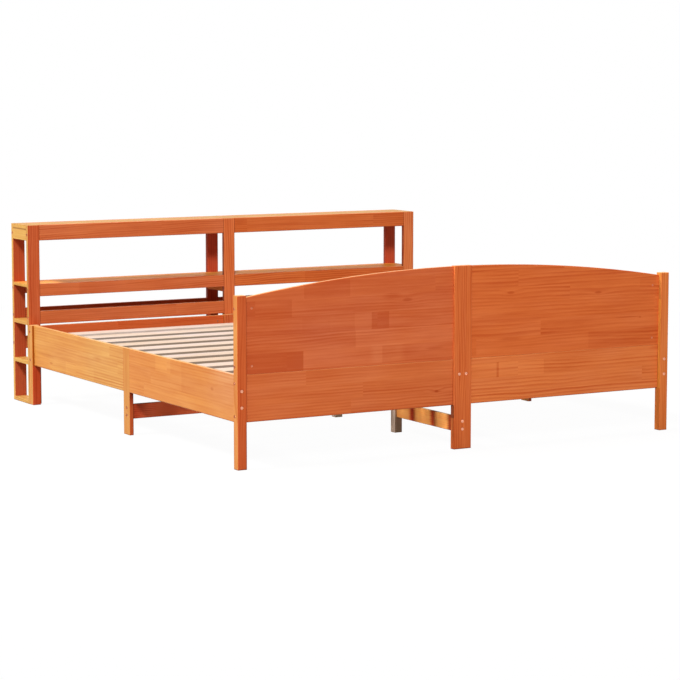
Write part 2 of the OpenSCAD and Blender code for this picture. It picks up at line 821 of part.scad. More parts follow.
module dowels() color(beech) {
    for (side = [left, right]) place(side) for (peg = side_dowels) dowel(peg);
    place() for (peg = centre_dowels) dowel(peg);
}

foot_post(left);  // foot_post_left
foot_post(right);  // foot_post_right
foot_post_centre();
foot_arch_panel(left);  // foot_arch_panel_left
foot_arch_panel(right);  // foot_arch_panel_right
foot_board(left);  // foot_board_left
foot_board(right);  // foot_board_right
side_rail_foot(left);  // side_rail_left_foot
side_rail_head(left);  // side_rail_left_head
side_rail_foot(right);  // side_rail_right_foot
side_rail_head(right);  // side_rail_right_head
mid_leg(left);  // mid_leg_left
mid_leg(right);  // mid_leg_right
head_leg(left);  // head_leg_left
head_leg(right);  // head_leg_right
head_post_centre();
head_board(left);  // head_board_left
head_board(right);  // head_board_right
centre_beam_foot();
centre_beam_head();
centre_leg_foot();
centre_leg_middle();
centre_leg_head();
low_stretcher_foot();
low_stretcher_head();
low_stretcher_side(left);  // low_stretcher_left
low_stretcher_side(right);  // low_stretcher_right
slat_cleats();
slats(left);  // slats_left
slats(right);  // slats_right
case_front_post(left);  // case_front_post_left
case_front_post_centre();
case_front_post(right);  // case_front_post_right
case_back_post(left);  // case_back_post_left
case_back_post_centre();
case_back_post(right);  // case_back_post_right
front_top_rail(left);  // front_top_rail_left
front_top_rail(right);  // front_top_rail_right
back_top_rail(left);  // back_top_rail_left
back_top_rail(right);  // back_top_rail_right
front_shelf_rail(left);  // front_shelf_rail_left
front_shelf_rail(right);  // front_shelf_rail_right
back_shelf_rail(left);  // back_shelf_rail_left
back_shelf_rail(right);  // back_shelf_rail_right
front_second_rail(left);  // front_second_rail_left
front_second_rail(right);  // front_second_rail_right
back_second_rails();
back_bottom_rails();
top_board(left);  // top_board_left
top_board(right);  // top_board_right
shelf(left);  // shelf_left
shelf(right);  // shelf_right
top_aprons();
spreaders();
shelf_bearer();
bolts();
tie_rods();
barrel_nuts();
dowels();
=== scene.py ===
"""Dresses, lights and frames the pine bed frame with its arched foot end and bookcase headboard."""

import json
import logging
import math
from dataclasses import dataclass, field, replace
from enum import Enum
from typing import Any, Callable, Mapping, Sequence, Union

import bmesh
import bpy
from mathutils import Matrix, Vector

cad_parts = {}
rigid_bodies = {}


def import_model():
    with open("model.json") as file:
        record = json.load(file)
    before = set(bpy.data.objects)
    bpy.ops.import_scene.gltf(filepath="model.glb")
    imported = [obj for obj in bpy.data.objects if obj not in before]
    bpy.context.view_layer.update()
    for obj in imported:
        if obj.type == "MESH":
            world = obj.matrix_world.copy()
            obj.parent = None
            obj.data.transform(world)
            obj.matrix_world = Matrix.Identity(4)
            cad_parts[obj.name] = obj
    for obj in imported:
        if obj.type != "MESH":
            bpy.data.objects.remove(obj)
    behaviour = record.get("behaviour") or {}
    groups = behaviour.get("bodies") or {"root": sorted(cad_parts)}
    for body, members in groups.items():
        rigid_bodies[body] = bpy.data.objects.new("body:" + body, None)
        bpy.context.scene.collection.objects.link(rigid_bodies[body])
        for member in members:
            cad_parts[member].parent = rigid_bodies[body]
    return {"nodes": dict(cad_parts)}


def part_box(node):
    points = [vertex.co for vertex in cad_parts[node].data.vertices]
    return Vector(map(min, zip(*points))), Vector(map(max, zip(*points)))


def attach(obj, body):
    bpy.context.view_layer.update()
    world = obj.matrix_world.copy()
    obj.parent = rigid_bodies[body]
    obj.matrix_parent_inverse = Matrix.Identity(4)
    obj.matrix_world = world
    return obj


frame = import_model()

log = logging.getLogger("bed_frame")

Tint = tuple[float, float, float]
Span = tuple[float, float]
Level = Union["Signal", float]
Feed = Union["Signal", float, Sequence[float]]
Key = Union[str, int]

# A span that holds every place, half the width of a crisp edge, and the tint of the painted shade on shaded
# arrises
EVERYWHERE: Span = (-9.0, 9.0)
CRISP = 0.0005
ARRIS_SHADE_TINT: Tint = (0.55, 0.45, 0.4)


class Lay(Enum):
    """Which axes a board's length, width and thickness run along."""

    RAIL_ACROSS = (0, 2, 1)
    FLAT_ACROSS = (0, 1, 2)
    RAIL_ALONG = (1, 2, 0)
    FLAT_ALONG = (1, 0, 2)
    UPRIGHT = (2, 0, 1)


class Slot(Enum):
    """A material slot of the record; no piece made here is put in it."""

    STEEL = "steel"


class Signal:
    """One output socket, written in sums and products like a number."""

    def __init__(self, graph: "ShaderGraph", socket: bpy.types.NodeSocket) -> None:
        """Keeps the socket and the graph that new nodes are added to."""
        self.graph = graph
        self.socket = socket

    def also(self, name: str) -> "Signal":
        """Gives another output of the same node."""
        return Signal(self.graph, self.graph.pick(self.socket.node.outputs, name))

    def maths(self, operation: str, *others: Level) -> "Signal":
        """Adds a Math node that reads this value first.

        Args:
            operation: Name of the Math node's operation.
            others: Values of its other sockets.

        Returns:
            The result of the operation.
        """
        return self.graph.maths(operation, self, *others)

    def __add__(self, other: Level) -> "Signal":
        """Adds a value."""
        return self.maths("ADD", other)

    def __radd__(self, other: Level) -> "Signal":
        """Adds a value written first."""
        return self.maths("ADD", other)

    def __sub__(self, other: Level) -> "Signal":
        """Subtracts a value."""
        return self.maths("SUBTRACT", other)

    def __neg__(self) -> "Signal":
        """Turns the sign round."""
        return self.maths("MULTIPLY", -1.0)

    def __rsub__(self, other: Level) -> "Signal":
        """Subtracts this value from one written first."""
        return self.graph.maths("SUBTRACT", other, self)

    def __mul__(self, other: Level) -> "Signal":
        """Multiplies by a value."""
        return self.maths("MULTIPLY", other)

    def __rmul__(self, other: Level) -> "Signal":
        """Multiplies by a value written first."""
        return self.maths("MULTIPLY", other)

    def __truediv__(self, other: Level) -> "Signal":
        """Divides by a value."""
        return self.maths("DIVIDE", other)

    def floor(self) -> "Signal":
        """Rounds down."""
        return self.maths("FLOOR")

    def fraction(self) -> "Signal":
        """Keeps what is left after rounding down."""
        return self.maths("FRACT")

    def size(self) -> "Signal":
        """Drops the sign."""
        return self.maths("ABSOLUTE")

    def lesser(self, other: Level) -> "Signal":
        """Keeps the lesser of two values."""
        return self.maths("MINIMUM", other)

    def greater(self, other: Level) -> "Signal":
        """Keeps the greater of two values."""
        return self.maths("MAXIMUM", other)

    def above(self, limit: Level) -> "Signal":
        """Is one above the limit and zero below it."""
        return self.maths("GREATER_THAN", limit)

    def rise(self, low: float, high: float) -> "Signal":
        """Rises smoothly from zero at the low value to one at the high value."""
        feeds = {"Value": self, "From Min": low, "From Max": high}
        return self.graph.node("MapRange", {"interpolation_type": "SMOOTHSTEP"}, feeds)

    def spread(self, low: float, high: float) -> "Signal":
        """Turns the range from zero to one into the range from the low to the high value."""
        return self * (high - low) + low


class ShaderGraph:
    """A node tree that finishes are written in."""

    def __init__(self, tree: bpy.types.NodeTree) -> None:
        """Empties the tree and takes it over."""
        self.tree = tree
        tree.nodes.clear()

    @staticmethod
    def pick(sockets: Any, key: Key) -> bpy.types.NodeSocket:
        """Finds a socket by its place, or the first one in use by its name.

        Args:
            sockets: A node's inputs or outputs.
            key: Index or name of the socket.

        Returns:
            The socket.
        """
        if isinstance(key, int):
            return sockets[key]
        return next(s for s in sockets if s.enabled and s.name == key)

    def node(
        self,
        kind: str,
        settings: Mapping[str, Any] | None = None,
        feeds: Mapping[Key, Feed] | None = None,
    ) -> Signal:
        """Adds a node, sets it up and then feeds its sockets.

        Args:
            kind: Type of the node, without the usual prefix.
            settings: Properties of the node.
            feeds: Value or signal for each socket, by name or index.

        Returns:
            The node's first output in use.
        """
        made = self.tree.nodes.new("ShaderNode" + kind)
        for key, value in (settings or {}).items():
            setattr(made, key, value)
        for key, value in (feeds or {}).items():
            self.feed(self.pick(made.inputs, key), value)
        return Signal(self, next((s for s in made.outputs if s.enabled), None))

    def feed(self, socket: bpy.types.NodeSocket, value: Feed) -> None:
        """Links a signal to a socket, or sets the socket to a value.

        Args:
            socket: An input of a node.
            value: A signal, a number, a vector or a tint.
        """
        if isinstance(value, Signal):
            self.tree.links.new(value.socket, socket)
        elif socket.type == "RGBA":
            socket.default_value = (*value, 1.0)
        else:
            socket.default_value = value

    def maths(self, operation: str, *values: Level) -> Signal:
        """Adds a Math node on up to three values."""
        return self.node("Math", {"operation": operation}, dict(enumerate(values)))

    def vector(self, x: Level, y: Level, z: Level = 0.0) -> Signal:
        """Joins three values in a vector."""
        return self.node("CombineXYZ", feeds={"X": x, "Y": y, "Z": z})

    def length(self, x: Level, y: Level) -> Signal:
        """Measures how far a place on a plane is from its middle."""
        return self.node("VectorMath", {"operation": "LENGTH"}, {0: self.vector(x, y)}).also("Value")

    def parts(self, vector: Signal) -> tuple[Signal, Signal, Signal]:
        """Splits a vector or a colour in its three parts."""
        split = self.node("SeparateXYZ", feeds={"Vector": vector})
        return split, split.also("Y"), split.also("Z")

    def noise(self, place: Signal, detail: float = 2.0, roughness: float = 0.5) -> Signal:
        """Gives smooth noise from zero to one with a period of about one unit."""
        feeds = {"Vector": place, "Scale": 1.0, "Detail": detail, "Roughness": roughness}
        return self.node("TexNoise", feeds=feeds)

    def luck(self, place: Signal) -> Signal:
        """Gives each whole place its own random number."""
        return self.node("TexWhiteNoise", {"noise_dimensions": "3D"}, {"Vector": place})

    def mix(self, share: Level, first: Feed, second: Feed, blend: str = "MIX") -> Signal:
        """Mixes two colours.

        Args:
            share: How much of the second colour is used, from 0 to 1.
            first: A colour or a signal of one.
            second: A colour or a signal of one.
            blend: Name of the way they are blended.

        Returns:
            The mixed colour.
        """
        settings = {"data_type": "RGBA", "blend_type": blend}
        return self.node("Mix", settings, {"Factor": share, "A": first, "B": second})

    def bump(self, height: Signal, depth: float, strength: float = 1.0) -> Signal:
        """Turns a height from zero to one, of the given depth in metres, into a normal."""
        return self.node("Bump", feeds={"Height": height, "Distance": depth, "Strength": strength})

    def surface(self, feeds: Mapping[str, Feed]) -> None:
        """Ends the tree with a Principled shader that has the given sockets."""
        self.end(self.node("BsdfPrincipled", feeds=feeds))

    def end(self, shader: Signal, output: str = "OutputMaterial") -> None:
        """Joins a shader to the output of a material or a world."""
        self.node(output, feeds={"Surface": shader})


def new_material(name: str) -> tuple[bpy.types.Material, ShaderGraph]:
    """Makes a material.

    Args:
        name: Name of the material.

    Returns:
        The material and the graph to write it in.
    """
    material = bpy.data.materials.new(name)
    material.use_nodes = True
    return material, ShaderGraph(material.node_tree)


def dress(node: str, material: bpy.types.Material) -> None:
    """Gives a CAD node a material in all its slots and reports it.

    Args:
        node: Name of the CAD node.
        material: The material.
    """
    piece = frame["nodes"][node]
    for slot in piece.material_slots:
        slot.material = material
    if not piece.material_slots:
        piece.data.materials.append(material)
    log.info("dressed %s", node)


@dataclass(frozen=True)
class StainAndFaceLight:
    """The tints of a sort of pine and how strongly its figure shows. Its front, side and top tints are
    painted light and shade, lit and shaded copies of one tint chosen by the way a face looks.

    Attributes:
        front: Tint of the faces that look neither to the left nor up, painted darker and redder as the less
            lit faces.
        side: Tint of the faces that look to the left, painted lighter and yellower as lit by the lamps on
            the left.
        top: Tint of the faces that look up, painted lighter as lit from above.
        pale: What the lightest timber multiplies the tint by.
        deep: What the darkest timber multiplies the tint by.
        rings: Depth of the late wood of the growth rings.
        patchy: Difference in tone from one glued stave to the next.
        streaks: Depth of the streaks along the grain.
        blush: Strength of the pinker clouds.
        gloss: Weight of the clear coat.
        shine: Level of the wood's own reflection.
        rough: Roughness of the surface.
    """

    front: Tint
    side: Tint
    top: Tint
    pale: Tint = (1.10, 1.24, 1.34)
    deep: Tint = (0.82, 0.62, 0.52)
    rings: float = 0.5
    patchy: float = 0.035
    streaks: float = 1.28
    blush: float = 0.4
    gloss: float = 0.02
    shine: float = 0.08
    rough: float = 0.42


# Tints are linear colours, chosen against the photograph under this scene's lamps
# Many tints below are lit or shaded copies, painted for where a piece stands: the bookcase's inner and back
# pieces, its rails, shelf and the head legs get redder, mostly darker painted shade, RIGHT_PANEL's top is
# painted shade, and LOW and GREY are painted lighter to make up for the little light under the bed.
STAINED = StainAndFaceLight(front=(0.669, 0.148, 0.043), side=(0.58, 0.22, 0.049), top=(0.74, 0.418, 0.16))
LEFT_PANEL = replace(STAINED, rings=0.22, streaks=1.04)
LEFT_BOARD = replace(LEFT_PANEL, front=(0.68, 0.160, 0.043), rings=0.3)
FOOT_RAIL = replace(STAINED, rings=0.15, streaks=0.96)
HEAD_RAIL = replace(STAINED, side=(0.583, 0.25, 0.055), rings=0.45)
LEG = replace(STAINED, front=(0.54, 0.094, 0.022), side=(0.55, 0.234, 0.051), rings=0.2, streaks=0.56)
HEAD_LEG = replace(LEG, front=(0.57, 0.070, 0.018), rings=0.5, streaks=1.28)
LEFT_POST = replace(STAINED, front=(0.61, 0.112, 0.026))
HEAD_BOARD = replace(STAINED, front=(0.77, 0.142, 0.034))
RIGHT_PANEL = replace(STAINED, front=(0.69, 0.146, 0.032), top=(0.43, 0.18, 0.048), rings=0.4)
RIGHT_BOARD = replace(STAINED, front=(0.745, 0.186, 0.045), rings=0.45)
RIGHT_POST = replace(STAINED, front=(0.75, 0.195, 0.043), side=(0.775, 0.31, 0.05), rings=0.7)
CENTRE_POST = replace(STAINED, front=(0.7, 0.157, 0.037), side=(0.8, 0.205, 0.05), top=(0.74, 0.32, 0.095))
CASE = replace(STAINED, front=(0.669, 0.136, 0.039), side=(0.58, 0.31, 0.066), top=(0.56, 0.285, 0.066))
RAIL_LEFT = replace(
    STAINED, front=(0.675, 0.163, 0.05), side=(0.38, 0.068, 0.026), top=(0.744, 0.223, 0.065)
)
RAIL_RIGHT = replace(RAIL_LEFT, front=(0.686, 0.158, 0.036))
CASE_POST = replace(CASE, front=(0.62, 0.121, 0.036), side=(0.51, 0.265, 0.055))
CASE_INNER = replace(CASE, front=(0.727, 0.175, 0.048), side=(0.357, 0.085, 0.026))
CASE_RIGHT = replace(CASE_INNER, front=(0.775, 0.217, 0.067))
CASE_BACK = replace(CASE, front=(0.52, 0.094, 0.029), rings=0.3, streaks=0.8)
BACK_INNER = replace(CASE_BACK, front=(0.58, 0.091, 0.034), side=(0.29, 0.043, 0.017), rings=0.25)
SHELF = replace(CASE, front=(0.425, 0.068, 0.026), top=(0.90, 0.355, 0.066), shine=0.03, gloss=0.0)
SHELF_RIGHT = replace(SHELF, top=(0.92, 0.35, 0.050))
LOW = replace(STAINED, front=(1.0, 0.17, 0.056), side=(1.0, 0.37, 0.08), rings=0.6)
BARE = StainAndFaceLight(
    front=(0.42, 0.343, 0.273), side=(0.648, 0.527, 0.416), top=(0.684, 0.56, 0.456),
    pale=(1.04, 1.06, 1.08), deep=(0.90, 0.84, 0.76), rings=0.26, patchy=0.5, streaks=0.48,
    gloss=0.0, rough=0.62,
)
GREY = StainAndFaceLight(
    front=(0.57, 0.44, 0.28), side=(1.0, 0.80, 0.62), top=(0.50, 0.39, 0.29),
    pale=(1.0, 1.0, 1.0), deep=(0.86, 0.82, 0.78), rings=0.4, patchy=0.3, streaks=0.8,
    gloss=0.0, rough=0.66,
)


@dataclass(frozen=True)
class Patch:
    """A box-shaped place on a board, in metres along, across and through it.

    Attributes:
        along: Where it starts and ends along the grain.
        across: Where it starts and ends across the board.
        deep: Where it starts and ends through the board.
        soft: Half the width of its edge along and across the board.
    """

    along: Span = EVERYWHERE
    across: Span = EVERYWHERE
    deep: Span = EVERYWHERE
    soft: float = CRISP


@dataclass(frozen=True)
class Stave(Patch):
    """A glued stave that is darker by its tone, or paler if that is below zero."""

    tone: float = 0.0


@dataclass(frozen=True)
class Shade(Patch):
    """A place of another tone, and the tint that it multiplies the colour by: on some boards a tone of the
    wood, on others painted shade and painted light.
    """

    tint: Tint = ARRIS_SHADE_TINT


@dataclass(frozen=True)
class Knot:
    """A knot that the grain bends round.

    Attributes:
        along: Its place along the grain, in metres.
        across: Its place across the board.
        radius: Half its width across the grain.
        dark: How dark it is.
        slim: How many times longer it is along the grain.
    """

    along: float
    across: float
    radius: float = 0.007
    dark: float = 0.8
    slim: float = 1.9


@dataclass(frozen=True)
class Board:
    """A CAD node of wood and the timber that it was cut from.

    Attributes:
        node: Name of the CAD node.
        lay: Which way its grain runs.
        seed: Number that its figure is drawn from.
        seam: Place of one glue seam across the board.
        stave_w: Width of a stave, or pitch of the boards in the node.
        stave_l: Usual length of a stave.
        ring: Distance between growth rings.
        tone: How much darker the whole board is.
        staves: Staves that stand out.
        knots: Knots that stand out.
        shades: Places of another tone, many of them painted shade and painted light.
        pooled: True if its lower and right-hand arrises get painted shade.
    """

    node: str
    lay: Lay
    seed: int
    seam: float = -0.85
    stave_w: float = 1.7
    stave_l: float = 9.0
    ring: float = 0.0075
    tone: float = 0.0
    staves: tuple[Stave, ...] = ()
    knots: tuple[Knot, ...] = ()
    shades: tuple[Shade, ...] = ()
    pooled: bool = True

    @property
    def middle(self) -> float:
        """Middle of the board's thickness."""
        axis = self.lay.value[2]
        return sum(corner[axis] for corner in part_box(self.node)) / 2


@dataclass(frozen=True)
class Figure:
    """A smooth noise that is drawn out along the grain.

    Attributes:
        along: Its periods in a metre along the grain.
        across: Its periods in a metre across the grain.
        detail: Number of its finer octaves.
        coarse: Strength of each octave beside the one before.
        layer: Where it is read, so that figures of like sizes differ.
        luck: How far the luck of a stave moves it.
    """

    along: float
    across: float
    detail: float = 2.0
    coarse: float = 0.5
    layer: float = 0.0
    luck: float = 31.0


class Timber:
    """The places of one board along, across and through it, and the stave that each is in."""

    def __init__(self, graph: ShaderGraph, board: Board, longest: float = 5.0, slip: float = 7.3) -> None:
        """Divides the board in staves and draws the luck of each.

        Args:
            graph: The graph of the board's material.
            board: The board.
            longest: Length from which on a stave has no joint.
            slip: How many staves the luck of a row moves its joints by at most.
        """
        self.graph = graph
        self.board = board
        self.place = graph.parts(graph.node("TexCoord").also("Object"))
        self.along, self.across, self.deep = (self.place[axis] for axis in board.lay.value)
        self.rows = (self.across - board.seam) / board.stave_w
        self.row = self.rows.floor()
        start: Level = 0.5
        if board.stave_l < longest:
            # The last number of a vector keeps the luck of the rows apart from that of the staves
            start = graph.luck(graph.vector(self.row, board.seed, 3.0)) * slip
        self.column = (self.along / board.stave_l + start).floor()
        self.chance = graph.luck(graph.vector(self.row, self.column, board.seed + 0.5))

    def noise(self, figure: Figure) -> Signal:
        """Reads a figure.

        Args:
            figure: The figure's sizes.

        Returns:
            Noise from zero to one.
        """
        along = self.along * figure.along + self.chance * figure.luck
        deep = self.deep * figure.across + figure.layer
        place = self.graph.vector(along, self.across * figure.across, deep)
        return self.graph.noise(place, figure.detail, figure.coarse)

    def inside(self, patch: Patch) -> Level:
        """Measures how much of a place is in a patch.

        Args:
            patch: The patch.

        Returns:
            One inside it and zero outside it.
        """
        share: Level = 1.0
        sides = (
            (self.along, patch.along, patch.soft),
            (self.across, patch.across, patch.soft),
            (self.deep, patch.deep, CRISP),
        )
        for place, (low, high), soft in sides:
            if (low, high) != EVERYWHERE:
                entered = place.rise(low - soft, low + soft)
                share = entered * (1.0 - place.rise(high - soft, high + soft)) * share
        return share


@dataclass(frozen=True)
class PineFinish:
    """Stained or bare pine with staves, growth rings, wisps, knots and worn arrises.

    Lengths are in metres, and those of a knot in its radii. A span is the least and the greatest of
    what luck draws, or the start and the end of a soft step. A depth is what a full figure adds to the
    tone, and a rough what it adds to the roughness, apart from the coat's own. Rises and dips are
    heights beside those of the fibres, which relief sets in metres.
    """

    stain_and_light: StainAndFaceLight
    wander: float = 0.05
    waver: float = 0.005
    pith_side: Span = (0.14, 0.46)
    pith_deep: Span = (0.02, 0.09)
    late_start: Span = (0.25, 0.88)
    late_end: Span = (0.9, 1.0)
    late_mean: float = 0.3
    ring_luck: Span = (0.4, 1.6)
    plain_edge: Span = (0.35, 0.65)
    plain: Span = (0.35, 1.25)
    bending: Figure = Figure(1.7, 4.0)
    wavering: Figure = Figure(7.0, 34.0)
    plainness: Figure = Figure(1.3, 6.0, layer=9.0)
    streaking: Figure = Figure(2.6, 70.0, detail=3.0, coarse=0.65)
    mottling: Figure = Figure(4.0, 16.0)
    fibres: Figure = Figure(30.0, 900.0, coarse=0.7, luck=0.0)
    clouds: Figure = Figure(3.0, 9.0, layer=4.0)
    cloud_edge: Span = (0.4, 0.7)
    mottle_depth: float = 0.6
    fibre_depth: float = 0.35
    wisp_sizes: tuple[float, float, float] = (3.0, 11.0, 6.0)
    wisp_seeds: tuple[float, float] = (1.7, 0.6)
    wisp_edge: Span = (0.02, 0.2)
    wisp_rare: float = 0.72
    wisp_depth: float = 0.45
    knot_reach: float = 4.5
    knot_push: float = 1.3
    knot_edge: Span = (0.45, 1.15)
    front_turn: Span = (0.4, 0.7)
    top_turn: Span = (0.75, 0.95)
    widest: float = 0.1
    seam_w: float = 0.0008
    arris: float = 0.0018
    pool: float = 0.004
    blush_tint: Tint = (1.03, 1.14, 1.5)
    knot_tint: Tint = (0.72, 0.45, 0.28)
    seam_tint: Tint = (0.964, 0.94, 0.928)
    worn_tint: Tint = (1.0072, 1.021, 1.03)
    relief: float = 0.0004
    bump: float = 0.35
    late_rise: float = 0.8
    seam_dip: float = 0.24
    knot_dip: float = 0.8
    fibre_rough: float = 0.16
    late_rough: float = 0.06
    worn_rough: float = 0.1
    coat_rough: float = 0.3

    def material(self, board: Board) -> bpy.types.Material:
        """Writes the material of one board.

        Args:
            board: The board and its timber.

        Returns:
            A material of its own for that board.
        """
        material, graph = new_material(board.node + "_pine")
        timber = Timber(graph, board)
        bend, knots = self.knots(timber)
        late = self.late_wood(timber, bend)
        mottle = timber.noise(self.mottling)
        fibre = timber.noise(self.fibres) - 0.5
        tone = self.tone(timber, late)
        tone = tone + (mottle - 0.5) * self.mottle_depth + fibre * self.fibre_depth
        figure = graph.mix(tone.greater(0.0).lesser(1.0), self.stain_and_light.pale, self.stain_and_light.deep)
        # The base tint is painted light and shade, chosen by the way each face looks
        colour = graph.mix(1.0, self.painted_face_light(graph), figure, "MULTIPLY")
        clouds = timber.noise(self.clouds).rise(*self.cloud_edge) * self.stain_and_light.blush
        seams = self.seams(timber)
        worn = self.worn(timber) * mottle
        tints = [(clouds, self.blush_tint), (knots, self.knot_tint), (seams, self.seam_tint)]
        # Some shades are tones of the wood; many are painted shade and painted light
        tints += [(timber.inside(shade), shade.tint) for shade in board.shades]
        tints.append((worn, self.worn_tint))
        # Painted shade along the lower and right-hand arrises
        if board.pooled:
            tints.append((self.arris_shade_mask(timber), ARRIS_SHADE_TINT))
        for share, tint in tints:
            colour = graph.mix(share, colour, tint, "MULTIPLY")
        height = fibre + late * self.late_rise - seams * self.seam_dip - knots * self.knot_dip
        rough = self.stain_and_light.rough + fibre * self.fibre_rough + late * self.late_rough
        rough = rough + worn * self.worn_rough
        graph.surface({
            "Base Color": colour,
            "Roughness": rough,
            "Normal": graph.bump(height, self.relief, self.bump),
            "Coat Weight": self.stain_and_light.gloss,
            "Coat Roughness": self.coat_rough,
            "Specular IOR Level": self.stain_and_light.shine,
        })
        return material

    def late_wood(self, timber: Timber, bend: Level) -> Signal:
        """Draws the growth rings round a pith beside and behind each stave.

        Args:
            timber: The places of the board.
            bend: How far the knots push the rings aside.

        Returns:
            How much of a place is dark late wood.
        """
        graph, board = timber.graph, timber.board
        tilt, heart, lean = graph.parts(timber.chance.also("Color"))
        wander = timber.noise(self.bending) - 0.5 + (lean - 0.5) * timber.along
        side = (timber.rows - timber.row - 0.5) * board.stave_w + wander * self.wander
        side = side + tilt.spread(*self.pith_side)
        radius = graph.length(side, timber.deep - board.middle + heart.spread(*self.pith_deep))
        turns = (radius + (timber.noise(self.wavering) - 0.5) * self.waver + bend) / board.ring
        turn = turns.fraction()
        late = turn.rise(*self.late_start) * (1.0 - turn.rise(*self.late_end))
        single = graph.luck(graph.vector(turns.floor(), timber.row, timber.column)).spread(*self.ring_luck)
        return late * single * timber.noise(self.plainness).rise(*self.plain_edge).spread(*self.plain)

    def tone(self, timber: Timber, late: Signal) -> Signal:
        """Adds up what makes the timber darker, apart from its mottle and its fibres.

        Args:
            timber: The places of the board.
            late: How much of a place is late wood.

        Returns:
            The tone, from zero where the timber is pale to one where it is deep.
        """
        tone = 0.5 + timber.board.tone + (timber.chance - 0.5) * self.stain_and_light.patchy
        tone = tone + (late - self.late_mean) * self.stain_and_light.rings
        tone = tone + (timber.noise(self.streaking) - 0.5) * self.stain_and_light.streaks
        for stave in timber.board.staves:
            tone = tone + timber.inside(stave) * stave.tone
        return tone + self.wisps(timber)

    def painted_face_light(self, graph: ShaderGraph) -> Signal:
        """Paints light and shade into the tint by the direction that a face looks in: faces to the left
        lighter and yellower, tops lighter, the rest darker.

        Args:
            graph: The graph of the material.

        Returns:
            The tint.
        """
        x, y, z = graph.parts(graph.node("NewGeometry").also("Normal"))
        front = y.size().greater(-z).greater(x).rise(*self.front_turn)
        level = graph.mix(front, self.stain_and_light.side, self.stain_and_light.front)
        return graph.mix(z.rise(*self.top_turn), level, self.stain_and_light.top)

    def knots(self, timber: Timber) -> tuple[Level, Level]:
        """Draws the knots of a board.

        Args:
            timber: The places of the board.

        Returns:
            How far the rings are pushed aside, and how much of a place is knot.
        """
        bend: Level = 0.0
        heart: Level = 0.0
        for knot in timber.board.knots:
            along = (timber.along - knot.along) / (knot.slim * knot.radius)
            away = timber.graph.length(along, (timber.across - knot.across) / knot.radius)
            bend = (1.0 - away.rise(0.0, self.knot_reach)) * knot.radius * self.knot_push + bend
            heart = (1.0 - away.rise(*self.knot_edge)) * knot.dark + heart
        return bend, heart

    def wisps(self, timber: Timber) -> Signal:
        """Draws the short dark wisps beside small knots.

        Args:
            timber: The places of the board.

        Returns:
            How much darker a place is.
        """
        graph = timber.graph
        along, across, deep = self.wisp_sizes
        moved, lifted = (step * timber.board.seed for step in self.wisp_seeds)
        x, y, z = timber.along * along + moved, timber.across * across + lifted, timber.deep * deep
        feeds = {"Vector": graph.vector(x, y, z), "Scale": 1.0}
        cell = graph.node("TexVoronoi", {"voronoi_dimensions": "3D"}, feeds)
        chosen = graph.parts(cell.also("Color"))[0].above(self.wisp_rare)
        return (1.0 - cell.rise(*self.wisp_edge)) * chosen * self.wisp_depth

    def seams(self, timber: Timber) -> Level:
        """Draws the glue seams between narrow staves.

        Args:
            timber: The places of the board.

        Returns:
            One in the middle of a seam and zero beside it.
        """
        width = timber.board.stave_w
        if width > self.widest:
            return 0.0
        away = (timber.rows.fraction() - 0.5).size() * width
        return away.rise(width / 2 - self.seam_w, width / 2)

    def arris_shade_mask(self, timber: Timber) -> Signal:
        """Finds the lower and the right-hand arrises of the board's box, which get painted shade.

        Args:
            timber: The places of the board.

        Returns:
            One along those arrises and zero elsewhere.
        """
        low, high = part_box(timber.board.node)
        x, _, z = timber.place
        return 1.0 - (high.x - x).lesser(z - low.z).rise(CRISP, self.pool)

    def worn(self, timber: Timber) -> Signal:
        """Finds the arrises of the board's box, where two of the gaps to its faces are small.

        Args:
            timber: The places of the board.

        Returns:
            One along an arris and zero on the faces.
        """
        low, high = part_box(timber.board.node)
        x, y, z = ((place - low[i]).lesser(high[i] - place) for i, place in enumerate(timber.place))
        second = x.greater(y).lesser(x.lesser(y).greater(z))
        return 1.0 - second.rise(0.0, self.arris)


@dataclass(frozen=True)
class SteelFinish:
    """Zinc-plated steel with turning marks, a little grime, painted shade on heads that look across the bed
    and a warm painted reflection.

    Attributes:
        tint: Colour of the metal, warmed pink with a painted reflection of the wood round it.
        dull: Colour of its duller clouds, warmed the same way.
        across_shade: Painted shade on the faces that look across the bed, standing for the shade of the
            recesses that those heads sit in.
        rough: Roughness of the metal.
        marks: Periods of the turning marks in a metre.
        clouds: Periods of the clouds in a metre.
        cloud_edge: Noise at which a cloud starts and at which it is full.
        cloud_share: How much of the duller colour a full cloud shows.
        mark_rough: What the marks add to the roughness.
        cloud_rough: What the clouds add to the roughness.
    """

    tint: Tint = (0.92, 0.44, 0.29)
    dull: Tint = (0.76, 0.32, 0.20)
    across_shade: Tint = (0.42, 0.13, 0.05)
    rough: float = 0.34
    marks: float = 1800.0
    clouds: float = 160.0
    cloud_edge: Span = (0.35, 0.75)
    cloud_share: float = 0.5
    mark_rough: float = 0.18
    cloud_rough: float = 0.2

    def material(self, name: str) -> bpy.types.Material:
        """Writes the material of the metal.

        Args:
            name: Name of the piece that wears it.

        Returns:
            The material.
        """
        material, graph = new_material(name + "_zinc")
        place = graph.parts(graph.node("TexCoord").also("Object"))
        fine = graph.vector(*(axis * self.marks for axis in place))
        marks = graph.noise(fine, detail=3.0, roughness=0.7)
        clouds = graph.noise(graph.vector(*(axis * self.clouds for axis in place)))
        across = graph.parts(graph.node("NewGeometry").also("Normal"))[0]
        bright = graph.mix(clouds.rise(*self.cloud_edge) * self.cloud_share, self.tint, self.dull)
        graph.surface({
            # Heads that look across the bed get painted shade
            "Base Color": graph.mix(across * across, bright, self.across_shade),
            "Metallic": 1.0,
            "Roughness": self.rough + (marks - 0.5) * self.mark_rough + (clouds - 0.5) * self.cloud_rough,
            "Normal": graph.bump(marks, depth=0.0001, strength=0.3),
        })
        return material


